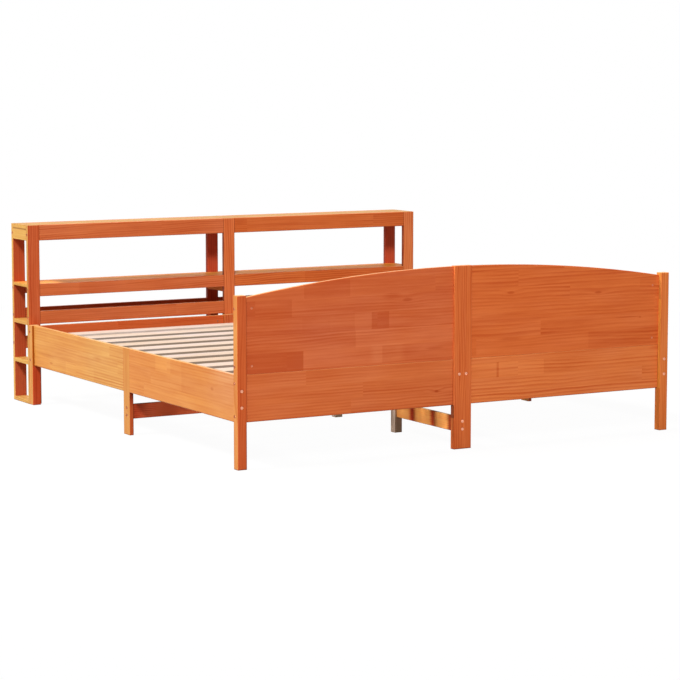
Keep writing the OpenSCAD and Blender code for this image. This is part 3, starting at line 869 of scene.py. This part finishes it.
@dataclass(frozen=True)
class BeechFinish:
    """Turned beech with short darker flecks, given by their number in a metre along each axis."""

    tint: Tint = (0.72, 0.50, 0.31)
    fleck: Tint = (0.55, 0.34, 0.19)
    flecks: tuple[float, float, float] = (700.0, 120.0, 700.0)
    fleck_edge: Span = (0.45, 0.7)
    rough: float = 0.55
    fleck_rough: float = 0.2

    def material(self, name: str) -> bpy.types.Material:
        """Writes the material of the beech.

        Args:
            name: Name of the piece that wears it.

        Returns:
            The material.
        """
        material, graph = new_material(name + "_beech")
        place = graph.parts(graph.node("TexCoord").also("Object"))
        place = graph.vector(*(axis * number for axis, number in zip(place, self.flecks)))
        flecks = graph.noise(place, detail=3.0, roughness=0.6)
        graph.surface({
            "Base Color": graph.mix(flecks.rise(*self.fleck_edge), self.tint, self.fleck),
            "Roughness": self.rough + (flecks - 0.5) * self.fleck_rough,
            "Normal": graph.bump(flecks, depth=0.0002, strength=0.4),
        })
        return material


def dress_boards(finish: PineFinish, *boards: Board) -> None:
    """Gives each board a material of its own."""
    for board in boards:
        dress(board.node, finish.material(board))


def face_at(place: float, reach: float = 0.001) -> Span:
    """Gives the thin span that holds a face at a place."""
    return place - reach, place + reach


def centre_post(name: str, seed: int, **more: Any) -> Board:
    """Describes a centre post, glued from three staves."""
    return Board(name, Lay.UPRIGHT, seed, seam=-0.0415, stave_w=0.0277, ring=0.011, **more)


@dataclass
class FootEnd:
    """The arched foot end: three posts, two arch panels and two lower boards.

    The strip is painted light along the seam where a panel meets its board, lightening the gap's shade,
    given by half its height and its tints.
    """

    seam: float = 0.374
    stave_w: float = 0.068
    stave_l: float = 1.1
    board_stave_w: float = 0.0613
    strip: float = 0.002
    left_strip: Tint = (1.1, 1.25, 1.35)
    right_strip: Tint = (1.03, 1.08, 1.1)
    edge_w: float = 0.004
    wander: float = 0.03

    def panel(self, name: str, seed: int, **more: Any) -> Board:
        """Describes an arch panel of long staves."""
        sizes = (self.seam, self.stave_w, self.stave_l)
        return Board(name, Lay.RAIL_ACROSS, seed, *sizes, pooled=False, **more)

    def board(self, name: str, seed: int, **more: Any) -> Board:
        """Describes a board below an arch panel."""
        return Board(name, Lay.RAIL_ACROSS, seed, stave_w=self.board_stave_w, **more)

    def painted_seam_light(self, tint: Tint) -> Shade:
        """Gives the painted light along the seam where an arch panel meets the board below it, which
        lightens the gap's shade.
        """
        return Shade(across=face_at(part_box("foot_board_left")[1].z, self.strip), tint=tint)

    def left_half(self) -> None:
        """Dresses the left panel and board, with the staves and knots that show most."""
        # Heights of the panel's glue seams
        z = [self.seam + i * self.stave_w for i in range(-1, 6)]
        # Painted light along the seam where the panel meets its board
        painted_seam_light = self.painted_seam_light(self.left_strip)
        pink = Shade((-0.75, -0.35), (0.43, 0.6), soft=0.12, tint=(1.0, 1.07, 1.3))
        pale = Shade((-0.42, -0.28), (0.384, 0.44), soft=0.02, tint=(1.08, 1.25, 1.4))
        dress_boards(PineFinish(LEFT_PANEL, wander=self.wander), self.panel(
            "foot_arch_panel_left", 14, ring=0.013, tone=0.06, shades=(pink, pale, painted_seam_light),
            staves=(
                Stave((-1.0, -0.731), (z[0], z[2]), tone=0.5),
                Stave((-1.0, -0.781), (z[4], z[5]), tone=0.26),
                Stave((-0.727, -0.521), (z[5], z[6]), tone=0.22),
                Stave((-0.423, -0.343), (z[3], z[4]), tone=0.4),
                Stave((-0.731, -0.374), (z[1], z[2]), tone=-0.22),
                Stave((-1.0, -0.736), (z[3], z[4]), tone=0.14),
                Stave((-0.611, -0.5), (z[3], z[4]), tone=0.14),
                Stave((-0.736, -0.611), (z[3], z[4]), tone=0.2),
                Stave((-0.496, -0.042), (z[2], z[3]), tone=-0.26),
            ),
            knots=(Knot(-0.258, 0.619, 0.008, 0.5, 3.2), Knot(-0.13, 0.418, 0.006, 0.4, 8.0)),
        ))
        dress_boards(PineFinish(LEFT_BOARD, wander=self.wander), self.board(
            "foot_board_left", 16, seam=0.181, stave_l=1.2, ring=0.012, tone=-0.04, shades=(painted_seam_light,),
            knots=(Knot(-0.12, 0.243, 0.006, 0.7),),
        ))

    def right_half(self) -> None:
        """Dresses the right panel and board, with the staves and knots that show most."""
        # Painted light along the seam where the panel meets its board
        painted_seam_light = self.painted_seam_light(self.right_strip)
        dress_boards(PineFinish(RIGHT_PANEL, wander=self.wander), self.panel(
            "foot_arch_panel_right", 15, ring=0.015, tone=-0.1, shades=(painted_seam_light,),
            staves=(
                Stave((0.625, 0.99), (self.seam, self.seam + self.stave_w), tone=0.16),
                Stave((0.888, 0.971), (0.615, 0.654), tone=0.16),
            ),
            knots=(
                Knot(0.235, 0.623, 0.007, 0.55, 3.0),
                Knot(0.672, 0.603, 0.006, 0.6, 3.4),
                Knot(0.555, 0.599, 0.005, 0.3, 22.0),
                Knot(0.83, 0.492, 0.003, 0.6, 24.0),
                Knot(0.19, 0.533, 0.006, 0.4, 22.0),
                Knot(0.237, 0.433, 0.009, 0.25, 7.0),
                Knot(0.89, 0.489, 0.004, 0.5),
            ),
        ))
        seam = 0.219
        row = (seam + self.board_stave_w, seam + 2 * self.board_stave_w)
        dress_boards(PineFinish(RIGHT_BOARD, wander=self.wander), self.board(
            "foot_board_right", 17, seam=seam, stave_l=1.1, ring=0.015, tone=-0.1, shades=(painted_seam_light,),
            staves=(
                Stave((0.179, 0.401), row, tone=-0.22),
                Stave((0.168, 0.179), row, tone=0.4),
                Stave((0.0, 0.168), row, tone=-0.16),
            ),
        ))

    def posts(self) -> None:
        """Dresses the posts, yellower towards the right, with painted shade on the left post's right arris,
        on the feet, and on inner faces of the right and centre posts.
        """
        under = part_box("foot_board_left")[0].z
        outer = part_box("foot_post_left")[1].x
        # Painted shade on the left post's right arris below the board, and at the feet
        edge = Shade((-1.0, under), (outer - self.edge_w, outer + 0.001), soft=0.001)
        sole = Shade((-1.0, 0.004), soft=0.001)
        dress_boards(PineFinish(LEFT_POST), Board(
            "foot_post_left", Lay.UPRIGHT, 11, ring=0.011, shades=(edge, sole), pooled=False
        ))
        # Painted shade on the right post's inner face below the board and near its top
        inner = face_at(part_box("foot_post_right")[0].x)
        shades = (
            Shade((-1.0, under), inner, tint=(0.95, 0.6, 0.6)),
            Shade((0.56, 1.0), inner, tint=(0.8, 0.72, 0.9)),
        )
        dress_boards(PineFinish(RIGHT_POST), Board(
            "foot_post_right", Lay.UPRIGHT, 12, ring=0.012, shades=shades
        ))
        inner = face_at(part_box("foot_post_centre")[0].x)
        # Painted shade on the centre post's inner face between the stretcher and the board
        over_stretcher = Shade((0.128, under), inner, tint=(0.5, 0.42, 0.45))
        dress_boards(PineFinish(CENTRE_POST), centre_post(
            "foot_post_centre", 13, shades=(over_stretcher, sole), pooled=False
        ))

    def build(self) -> None:
        """Dresses the foot end."""
        self.posts()
        self.left_half()
        self.right_half()


@dataclass
class SideRails:
    """The side rails in halves, and the legs between the halves."""

    seam: float = 0.181
    stave_w: float = 0.0613
    wander: float = 0.015
    ring: float = 0.012

    def rail(self, name: str, seed: int, stave_l: float, **more: Any) -> Board:
        """Describes half a side rail."""
        return Board(name, Lay.RAIL_ALONG, seed, self.seam, self.stave_w, stave_l, self.ring, **more)

    def build(self) -> None:
        """Dresses the rails, with the staves and knots that show most, and their legs, with painted shade
        under the rail on the left leg's front.
        """
        # Heights of the rails' glue seams
        z = [self.seam + i * self.stave_w for i in range(4)]
        dress_boards(
            PineFinish(FOOT_RAIL, wander=self.wander),
            self.rail(
                "side_rail_left_foot", 21, 0.8,
                staves=(
                    Stave((-0.52, -0.38), (z[2], z[3]), tone=-0.2),
                    Stave((-1.1, -0.62), (z[1], z[3]), tone=0.12),
                ),
                knots=(Knot(-0.891, 0.288, 0.008, 0.45),),
                shades=(Shade((-1.3, -0.90), (0.24, 0.9), soft=0.13, tint=(1.06, 1.22, 1.9)),),
            ),
            self.rail("side_rail_right_foot", 23, 0.9, knots=(Knot(-0.3, 0.3, 0.007, 0.6),)),
        )
        dress_boards(
            PineFinish(HEAD_RAIL, wander=self.wander),
            self.rail(
                "side_rail_left_head", 22, 1.1,
                staves=(Stave((0.237, 0.539), (z[0], z[1]), tone=-0.16),),
                knots=(Knot(0.70, 0.214, 0.006, 0.6, 3.2), Knot(0.75, 0.243, 0.009, 0.32, 12.0)),
                shades=(
                    Shade((-0.2, 0.33), (0.0, 0.9), soft=0.1, tint=(0.98, 1.06, 1.2)),
                    Shade((0.72, 1.3), (0.0, 0.25), soft=0.03, tint=(0.98, 0.88, 0.74)),
                ),
            ),
            self.rail("side_rail_right_head", 24, 0.7, knots=(Knot(0.6, 0.23, 0.008, 0.6),)),
        )
        front = face_at(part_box("mid_leg_left")[0].y)
        # Painted shade on the left mid leg's front, under the rail
        under_rail = Shade((0.14, 0.9), deep=front, soft=0.03, tint=(0.5, 0.35, 0.35))
        dress_boards(
            PineFinish(LEG),
            Board("mid_leg_left", Lay.UPRIGHT, 25, ring=0.011, shades=(under_rail,)),
            Board("mid_leg_right", Lay.UPRIGHT, 26, ring=0.011),
        )


@dataclass
class HeadEnd:
    """The head legs, the centre post between them and the two head boards."""

    seam: float = 0.176
    stave_w: float = 0.0613

    def build(self) -> None:
        """Dresses the head end, with painted shade on the left leg's front beside the rail."""
        dress_boards(PineFinish(STAINED), centre_post("head_post_centre", 33))
        for side, seed, stave_l in (("left", 34, 0.6), ("right", 35, 0.5)):
            dress_boards(PineFinish(HEAD_BOARD), Board(
                f"head_board_{side}", Lay.RAIL_ACROSS, seed, self.seam, self.stave_w, stave_l
            ))
        front = face_at(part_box("head_leg_left")[0].y)
        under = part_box("side_rail_left_head")[0].z
        # Painted shade on the left head leg's front beside the rail
        beside_rail = Shade((under, 0.9), deep=front, soft=0.01, tint=(0.62, 1.2, 0.3))
        dress_boards(
            PineFinish(HEAD_LEG),
            Board("head_leg_left", Lay.UPRIGHT, 31, ring=0.011, shades=(beside_rail,)),
            Board("head_leg_right", Lay.UPRIGHT, 32, ring=0.011),
        )


@dataclass
class CentreSupport:
    """The beam under the slats, its legs and the low stretchers."""

    seam: float = 0.066
    stave_w: float = 0.07
    stave_l: float = 0.8

    def stretcher(self, name: str, lay: Lay, seed: int, **more: Any) -> Board:
        """Describes a low stretcher."""
        return Board(name, lay, seed, self.seam, self.stave_w, self.stave_l, **more)

    def build(self, low: PineFinish, bare: PineFinish, grey: PineFinish) -> None:
        """Dresses the centre support, with painted shadows on the stretchers.

        Args:
            low: Finish of the stretchers.
            bare: Finish of the beam.
            grey: Finish of the legs.
        """
        dress_boards(
            bare,
            Board("centre_beam_foot", Lay.FLAT_ALONG, 41, ring=0.005),
            Board("centre_beam_head", Lay.FLAT_ALONG, 42, ring=0.005),
        )
        dress_boards(
            grey,
            # The foot leg's lower tone paints it lighter, making up for the little light under the bed
            Board("centre_leg_foot", Lay.UPRIGHT, 43, ring=0.004, tone=-0.35),
            Board("centre_leg_middle", Lay.UPRIGHT, 44, ring=0.004),
            Board("centre_leg_head", Lay.UPRIGHT, 45, ring=0.004),
        )
        # Painted shadows of the foot end and of the slats across the foot stretcher
        painted_shadows = (
            Shade((-1.2, -1.019), soft=0.016, tint=(0.35, 0.1, 0.03)),
            Shade((-0.918, -0.888), soft=0.018, tint=(0.74, 0.16, 0.03)),
            Shade((-0.76, -0.724), soft=0.018, tint=(0.74, 0.13, 0.02)),
        )
        # Painted shadow beside the mid leg at the left stretcher's end
        painted_leg_shadow = Shade((-1.2, -0.94), soft=0.04, tint=(0.45, 0.3, 0.25))
        # The stretchers' lower tones paint them lighter, making up for the little light under the bed
        dress_boards(
            low,
            self.stretcher("low_stretcher_foot", Lay.RAIL_ALONG, 46, tone=-0.3, shades=painted_shadows),
            self.stretcher("low_stretcher_head", Lay.RAIL_ALONG, 47),
            self.stretcher("low_stretcher_left", Lay.RAIL_ACROSS, 48, tone=-0.5, shades=(painted_leg_shadow,)),
            self.stretcher("low_stretcher_right", Lay.RAIL_ACROSS, 49, tone=-0.5),
        )


@dataclass
class SlatScrew:
    """A flat-headed screw with a cross recess, standing just proud of a slat."""

    head_r: float = 0.0036
    shank_r: float = 0.0016
    proud: float = 0.0005
    sunk: float = 0.0022
    rim: float = 0.0002
    cross_w: float = 0.0009
    cross_l: float = 0.0042
    cross_h: float = 0.0026
    taper: float = 0.55
    sides: int = 16

    def model(self, at: Vector) -> bpy.types.Object:
        """Models one screw with its head at a place on the top of a slat.

        Args:
            at: Middle of the head, on the face of the slat.

        Returns:
            The screw.
        """
        deselect()
        low, high = at.z - self.sunk, at.z + self.proud
        middle = (at.x, at.y, (low + high) / 2)
        bpy.ops.mesh.primitive_cylinder_add(
            vertices=self.sides, radius=self.head_r, depth=high - low, location=middle
        )
        head = bpy.context.object
        settle(head)
        with Editing(head) as mesh:
            select(mesh.faces, "FACE", looks_down)
            shrink = self.shank_r / self.head_r
            bpy.ops.transform.resize(value=(shrink, shrink, 1.0), center_override=(at.x, at.y, low))
            select(mesh.edges, "EDGE", lambda edge: all(v.co.z > high - self.rim / 2 for v in edge.verts))
            bpy.ops.mesh.bevel(offset=self.rim, segments=2)
        for turned in (False, True):
            self.cut_slot(head, at, high, turned)
        return head

    def cut_slot(self, head: bpy.types.Object, at: Vector, high: float, turned: bool) -> None:
        """Cuts one arm of the cross recess with a tapered cutter.

        Args:
            head: The screw.
            at: Middle of its head.
            high: Height of the top of the head.
            turned: True for the arm along the bed.
        """
        deselect()
        bpy.ops.mesh.primitive_cube_add(size=1.0, location=(at.x, at.y, high))
        cutter = bpy.context.object
        long, wide = self.cross_l, self.cross_w
        cutter.scale = (wide if turned else long, long if turned else wide, self.cross_h)
        settle(cutter)
        with Editing(cutter) as mesh:
            select(mesh.faces, "FACE", looks_down)
            narrow = (self.taper, self.taper, 1.0)
            bpy.ops.transform.resize(value=narrow, center_override=(at.x, at.y, high))
        apply_modifier(head, "BOOLEAN", operation="DIFFERENCE", object=cutter, solver="EXACT")
        bpy.data.objects.remove(cutter, do_unlink=True)


@dataclass
class SlatBed:
    """The two columns of slats, the cleats that carry them and their screws."""

    count: int = 12
    slat_w: float = 0.093
    end_inset: float = 0.009
    beam_inset: float = 0.015
    pair: float = 0.05
    cleat_gap: float = 0.072
    arris: float = 0.001
    screw: SlatScrew = field(default_factory=SlatScrew)

    def build(self, wood: PineFinish, steel: SteelFinish) -> None:
        """Dresses the slats and the cleats and screws them down.

        Args:
            wood: Finish of slats and cleats.
            steel: Finish of the screws.
        """
        low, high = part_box("slats_left")
        pitch = (high.y - low.y - self.slat_w) / (self.count - 1)
        seam = low.y - (pitch - self.slat_w) / 2
        # Painted light on the front face of the last slat, which the lamps leave in shade
        edge = face_at(high.y - self.slat_w)
        below_arris = (low.z - self.arris, high.z - self.arris)
        painted_lit_edge = Shade(across=edge, deep=below_arris, tint=(1.9, 1.95, 2.0))
        dress_boards(
            wood,
            Board("slats_left", Lay.FLAT_ACROSS, 51, seam, pitch, ring=0.008, shades=(painted_lit_edge,)),
            Board("slats_right", Lay.FLAT_ACROSS, 52, seam, pitch, ring=0.008, shades=(painted_lit_edge,)),
            Board("slat_cleats", Lay.RAIL_ALONG, 53, ring=0.006),
        )
        for name in ("slats_left", "slats_right"):
            piece = self.screws(name, pitch)
            piece.data.materials.append(steel.material(piece.name))
            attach(piece, "root")
            log.info("modelled %s", piece.name)

    def screws(self, column: str, pitch: float) -> bpy.types.Object:
        """Models a column's first screw and copies it to each place.

        Args:
            column: Name of the slats' node.
            pitch: Distance from one slat to the next.

        Returns:
            All the screws of the column, joined.
        """
        low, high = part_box(column)
        outer, inner = (low.x, high.x) if column.endswith("left") else (high.x, low.x)
        sign = 1.0 if outer < inner else -1.0
        middle = sum(corner.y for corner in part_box("mid_leg_left")) / 2
        places = []
        for i in range(self.count):
            slat = low.y + self.slat_w / 2 + i * pitch
            for y in (slat - self.pair / 2, slat + self.pair / 2):
                places.append(Vector((inner - sign * self.beam_inset, y, high.z)))
                if abs(y - middle) > self.cleat_gap:
                    places.append(Vector((outer + sign * self.end_inset, y, high.z)))
        first = self.screw.model(places[0])
        copies = [first]
        for place in places[1:]:
            copy = bpy.data.objects.new(first.name, first.data.copy())
            bpy.context.collection.objects.link(copy)
            copy.location = place - places[0]
            settle(copy)
            copies.append(copy)
        return join(copies, column.replace("slats", "slat_screws"))


@dataclass
class Bookcase:
    """The open bookcase behind the head end."""

    stave_w: float = 0.06
    sides: tuple[str, ...] = ("left", "centre", "right")
    rows: tuple[str, ...] = ("front_top_rail", "back_top_rail", "back_shelf_rail", "front_second_rail")

    def posts(self, row: str, seed: int, finishes: Sequence[PineFinish]) -> None:
        """Dresses the posts of the front or the back frame.

        Args:
            row: Name of the frame.
            seed: Number that the first figure is drawn from.
            finishes: Finish of each post, from left to right.
        """
        for step, (side, finish) in enumerate(zip(self.sides, finishes)):
            dress_boards(finish, Board(f"case_{row}_post_{side}", Lay.UPRIGHT, seed + step, ring=0.011))

    def rail(self, name: str, seed: int, stave_l: float = 0.7, **more: Any) -> Board:
        """Describes a rail without glue seams along it."""
        return Board(name, Lay.RAIL_ACROSS, seed, seam=0.0, stave_w=0.9, stave_l=stave_l, ring=0.01, **more)

    def rails(self, half: str, seed: int, finish: PineFinish, pale: Span) -> None:
        """Dresses the rails of one half.

        Args:
            half: Name of the half.
            seed: Number that the first figure is drawn from.
            finish: Finish of the rails.
            pale: Where the front shelf rail has a paler stave.
        """
        for step, name in enumerate(self.rows):
            dress_boards(finish, self.rail(f"{name}_{half}", seed + step))
        dress_boards(finish, self.rail(
            f"front_shelf_rail_{half}", seed + 9, Board.stave_l, tone=0.05,
            staves=(Stave(pale, (0.0, 1.0), tone=-0.2),),
        ))

    def board(self, name: str, seed: int) -> Board:
        """Describes half of the top board or of the shelf."""
        return Board(name, Lay.FLAT_ACROSS, seed, seam=0.95, stave_w=self.stave_w, stave_l=0.5)

    def build(self) -> None:
        """Dresses the bookcase, with darker, redder painted shade on the faces that its own boards shade.
        """
        inner = PineFinish(BACK_INNER)
        self.posts("front", 61, (PineFinish(CASE_POST), PineFinish(CASE_INNER), PineFinish(CASE_RIGHT)))
        self.posts("back", 66, (PineFinish(CASE_BACK), inner, inner))
        self.rails("left", 71, PineFinish(RAIL_LEFT), (-1.1, -0.776))
        self.rails("right", 81, PineFinish(RAIL_RIGHT), (0.0, 0.41))
        dress_boards(
            PineFinish(RAIL_LEFT),
            self.rail("back_second_rails", 91, tone=0.3),
            self.rail("back_bottom_rails", 92, tone=0.2),
        )
        # Painted shade: the tint makes the shelf bearer's shade redder
        bearer = Board("shelf_bearer", Lay.RAIL_ALONG, 103, shades=(Shade(tint=(1.5, 0.8, 0.5)),))
        dress_boards(PineFinish(SHELF), self.board("shelf_left", 97), bearer)
        dress_boards(PineFinish(SHELF_RIGHT), self.board("shelf_right", 98))
        # Painted shadow along the top of the aprons, under the top board
        under_top = Shade(across=(0.796, 0.9), tint=(0.55, 0.42, 0.32))
        dress_boards(
            PineFinish(CASE),
            self.board("top_board_left", 95),
            self.board("top_board_right", 96),
            Board("top_aprons", Lay.RAIL_ALONG, 101, shades=(under_top,)),
            Board("spreaders", Lay.FLAT_ALONG, 102, seam=0.5, stave_w=0.9),
        )


@dataclass
class Fasteners:
    """The bolts, tie rods, barrel nuts and dowels that hold the frame together."""

    rods: tuple[str, ...] = ("bolts", "tie_rods")
    # The nuts' warm tints paint in a reflection of the wood round them
    nut_finish: SteelFinish = SteelFinish(tint=(0.84, 0.29, 0.16), dull=(0.64, 0.19, 0.10))

    def build(self, steel: SteelFinish, beech: BeechFinish) -> None:
        """Dresses the fasteners.

        Args:
            steel: Finish of the bolts and tie rods.
            beech: Finish of the dowels.
        """
        for node in self.rods:
            dress(node, steel.material(node))
        dress("barrel_nuts", self.nut_finish.material("barrel_nuts"))
        dress("dowels", beech.material("dowels"))


def looks_down(face: bmesh.types.BMFace, steep: float = 0.9) -> bool:
    """Is true for a face that looks down, as its normal's height tells."""
    return -face.normal.z > steep


def deselect() -> None:
    """Deselects every object."""
    for other in bpy.context.view_layer.objects:
        other.select_set(False)


def settle(piece: bpy.types.Object) -> None:
    """Moves a piece's place, turn and size into its mesh."""
    piece.data.transform(piece.matrix_basis)
    piece.matrix_basis.identity()


def apply_modifier(piece: bpy.types.Object, kind: str, **settings: Any) -> None:
    """Adds a modifier to a piece and applies it.

    Args:
        piece: The piece.
        kind: Type of the modifier.
        settings: Its properties.
    """
    deselect()
    bpy.context.view_layer.objects.active = piece
    piece.select_set(True)
    modifier = piece.modifiers.new(kind.lower(), kind)
    for key, value in settings.items():
        setattr(modifier, key, value)
    bpy.ops.object.modifier_apply(modifier=modifier.name)


def join(pieces: Sequence[bpy.types.Object], name: str) -> bpy.types.Object:
    """Joins pieces.

    Args:
        pieces: The pieces.
        name: Name of the joined piece.

    Returns:
        The joined piece.
    """
    deselect()
    for piece in pieces:
        piece.select_set(True)
    bpy.context.view_layer.objects.active = pieces[0]
    bpy.ops.object.join()
    pieces[0].name = name
    return pieces[0]


class Editing:
    """Edit mode on one piece, with nothing selected at the start."""

    def __init__(self, piece: bpy.types.Object) -> None:
        """Keeps the piece."""
        self.piece = piece

    def __enter__(self) -> bmesh.types.BMesh:
        """Enters edit mode.

        Returns:
            The mesh.
        """
        deselect()
        bpy.context.view_layer.objects.active = self.piece
        self.piece.select_set(True)
        bpy.ops.object.mode_set(mode="EDIT")
        bpy.ops.mesh.select_all(action="DESELECT")
        return bmesh.from_edit_mesh(self.piece.data)

    def __exit__(self, *problem: Any) -> None:
        """Leaves edit mode."""
        bpy.ops.object.mode_set(mode="OBJECT")


def select(parts: Any, kind: str, wanted: Callable[[Any], bool]) -> None:
    """Selects only the parts of a mesh that pass a test.

    Args:
        parts: The mesh's faces or its edges.
        kind: FACE or EDGE.
        wanted: The test.
    """
    bpy.ops.mesh.select_mode(type=kind)
    for part in parts:
        part.select_set(False)
    for part in parts:
        if wanted(part):
            part.select_set(True)


@dataclass(frozen=True)
class Softbox:
    """A rectangular area lamp.

    Attributes:
        name: Name of the lamp.
        towards: Direction from the bed to the lamp.
        distance: Distance from the middle of the bed, in metres.
        size: Width and height of the rectangle.
        level: How bright a white face turned to the lamp looks, where 1 is white.
    """

    name: str
    towards: tuple[float, float, float]
    distance: float
    size: tuple[float, float]
    level: float

    def hang(self, aim: Vector) -> None:
        """Adds the lamp.

        Args:
            aim: Where the lamp is turned to.
        """
        lamp = bpy.data.lights.new(self.name, "AREA")
        lamp.shape = "RECTANGLE"
        lamp.size, lamp.size_y = self.size
        lamp.energy = self.level * math.pi ** 2 * self.distance ** 2
        holder = bpy.data.objects.new(self.name, lamp)
        bpy.context.collection.objects.link(holder)
        way = Vector(self.towards).normalized()
        holder.location = aim + way * self.distance
        holder.rotation_euler = way.to_track_quat("Z", "Y").to_euler()


@dataclass
class Studio:
    """A pale floor, soft lamps, a white surround and the camera.

    Lengths are in metres, angles in radians, and the lens and its sensor in millimetres. The floor_look
    is its tint to the camera, and the shadow fades over the shadow_reach from the middle of the floor.
    """

    floor_side: float = 80.0
    floor_gap: float = 0.0005
    floor_bounce: float = 0.40
    floor_look: Tint = (0.95, 0.95, 0.95)
    shadow_share: float = 0.035
    shadow_reach: Span = (2.2, 5.0)
    sky_level: float = 0.27
    sky_tint: Tint = (1.0, 0.84, 0.72)
    aim: tuple[float, float, float] = (0.0, 0.0, 0.4)
    place: tuple[float, float, float] = (-5.17979, -9.11775, 1.55611)
    turn: float = 0.52251
    tip: float = 0.11636
    lens: float = 126.09
    sensor_w: float = 36.0
    sight: float = 200.0
    lamps: tuple[Softbox, ...] = (
        Softbox("key_far", (-0.90, 0.31, 1.00), 24.0, (2.4, 3.6), 0.56),
        Softbox("key_near", (-0.90, 0.07, 1.00), 24.0, (2.4, 3.6), 0.56),
        Softbox("front", (-0.77, -1.25, 1.00), 24.0, (3.4, 3.4), 0.62),
    )

    def build(self) -> None:
        """Sets up the studio."""
        self.lay_floor()
        self.light()
        self.surround()
        self.aim_camera()
        bpy.context.scene.view_settings.view_transform = "Standard"

    def lay_floor(self) -> None:
        """Lays a floor that looks white, keeps the bed's shadow and throws little light back."""
        deselect()
        bpy.ops.mesh.primitive_plane_add(size=self.floor_side, location=(0.0, 0.0, -self.floor_gap))
        floor = bpy.context.object
        settle(floor)
        floor.name = "floor"
        material, graph = new_material("studio_floor")
        path = graph.node("LightPath")
        seen = path.greater(path.also("Is Glossy Ray"))
        tint = graph.mix(seen, (self.floor_bounce,) * 3, self.floor_look)
        paint = graph.node("BsdfDiffuse", feeds={"Color": tint})
        glow = graph.node("Emission", feeds={"Color": (1.0, 1.0, 1.0), "Strength": 1.0})
        x, y, _ = graph.parts(graph.node("TexCoord").also("Object"))
        far = graph.length(x, y).rise(*self.shadow_reach)
        share = seen * (1.0 - self.shadow_share * (1.0 - far))
        graph.end(graph.node("MixShader", feeds={0: share, 1: paint, 2: glow}))
        floor.data.materials.append(material)
        log.info("laid the floor")

    def light(self) -> None:
        """Hangs the lamps."""
        for lamp in self.lamps:
            lamp.hang(Vector(self.aim))
            log.info("hung the %s lamp", lamp.name)

    def surround(self) -> None:
        """Makes the world white to the eye and to gloss, and dimmer as a light."""
        world = bpy.data.worlds.new("surround")
        world.use_nodes = True
        graph = ShaderGraph(world.node_tree)
        path = graph.node("LightPath")
        seen = path.greater(path.also("Is Glossy Ray")).greater(path.also("Is Transmission Ray"))
        dim = graph.node("Background", feeds={"Color": self.sky_tint, "Strength": self.sky_level})
        white = graph.node("Background", feeds={"Color": (1.0, 1.0, 1.0), "Strength": 1.0})
        graph.end(graph.node("MixShader", feeds={0: seen, 1: dim, 2: white}), "OutputWorld")
        bpy.context.scene.world = world

    def aim_camera(self) -> None:
        """Places the camera where the photograph was taken from."""
        lens = bpy.data.cameras.new("camera")
        lens.sensor_width = self.sensor_w
        lens.lens = self.lens
        lens.clip_end = self.sight
        camera = bpy.data.objects.new("camera", lens)
        bpy.context.collection.objects.link(camera)
        camera.location = self.place
        camera.rotation_euler = (math.pi / 2 - self.tip, 0.0, -self.turn)
        bpy.context.scene.camera = camera


def main() -> None:
    """Builds the sub-assemblies in order."""
    logging.basicConfig(level=logging.INFO, format="%(name)s: %(message)s")
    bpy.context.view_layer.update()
    bare, grey = PineFinish(BARE), PineFinish(GREY)
    steel, beech = SteelFinish(), BeechFinish()
    FootEnd().build()
    SideRails().build()
    HeadEnd().build()
    CentreSupport().build(PineFinish(LOW), bare, grey)
    SlatBed().build(bare, steel)
    Bookcase().build()
    Fasteners().build(steel, beech)
    Studio().build()


if __name__ == "__main__":
    main()
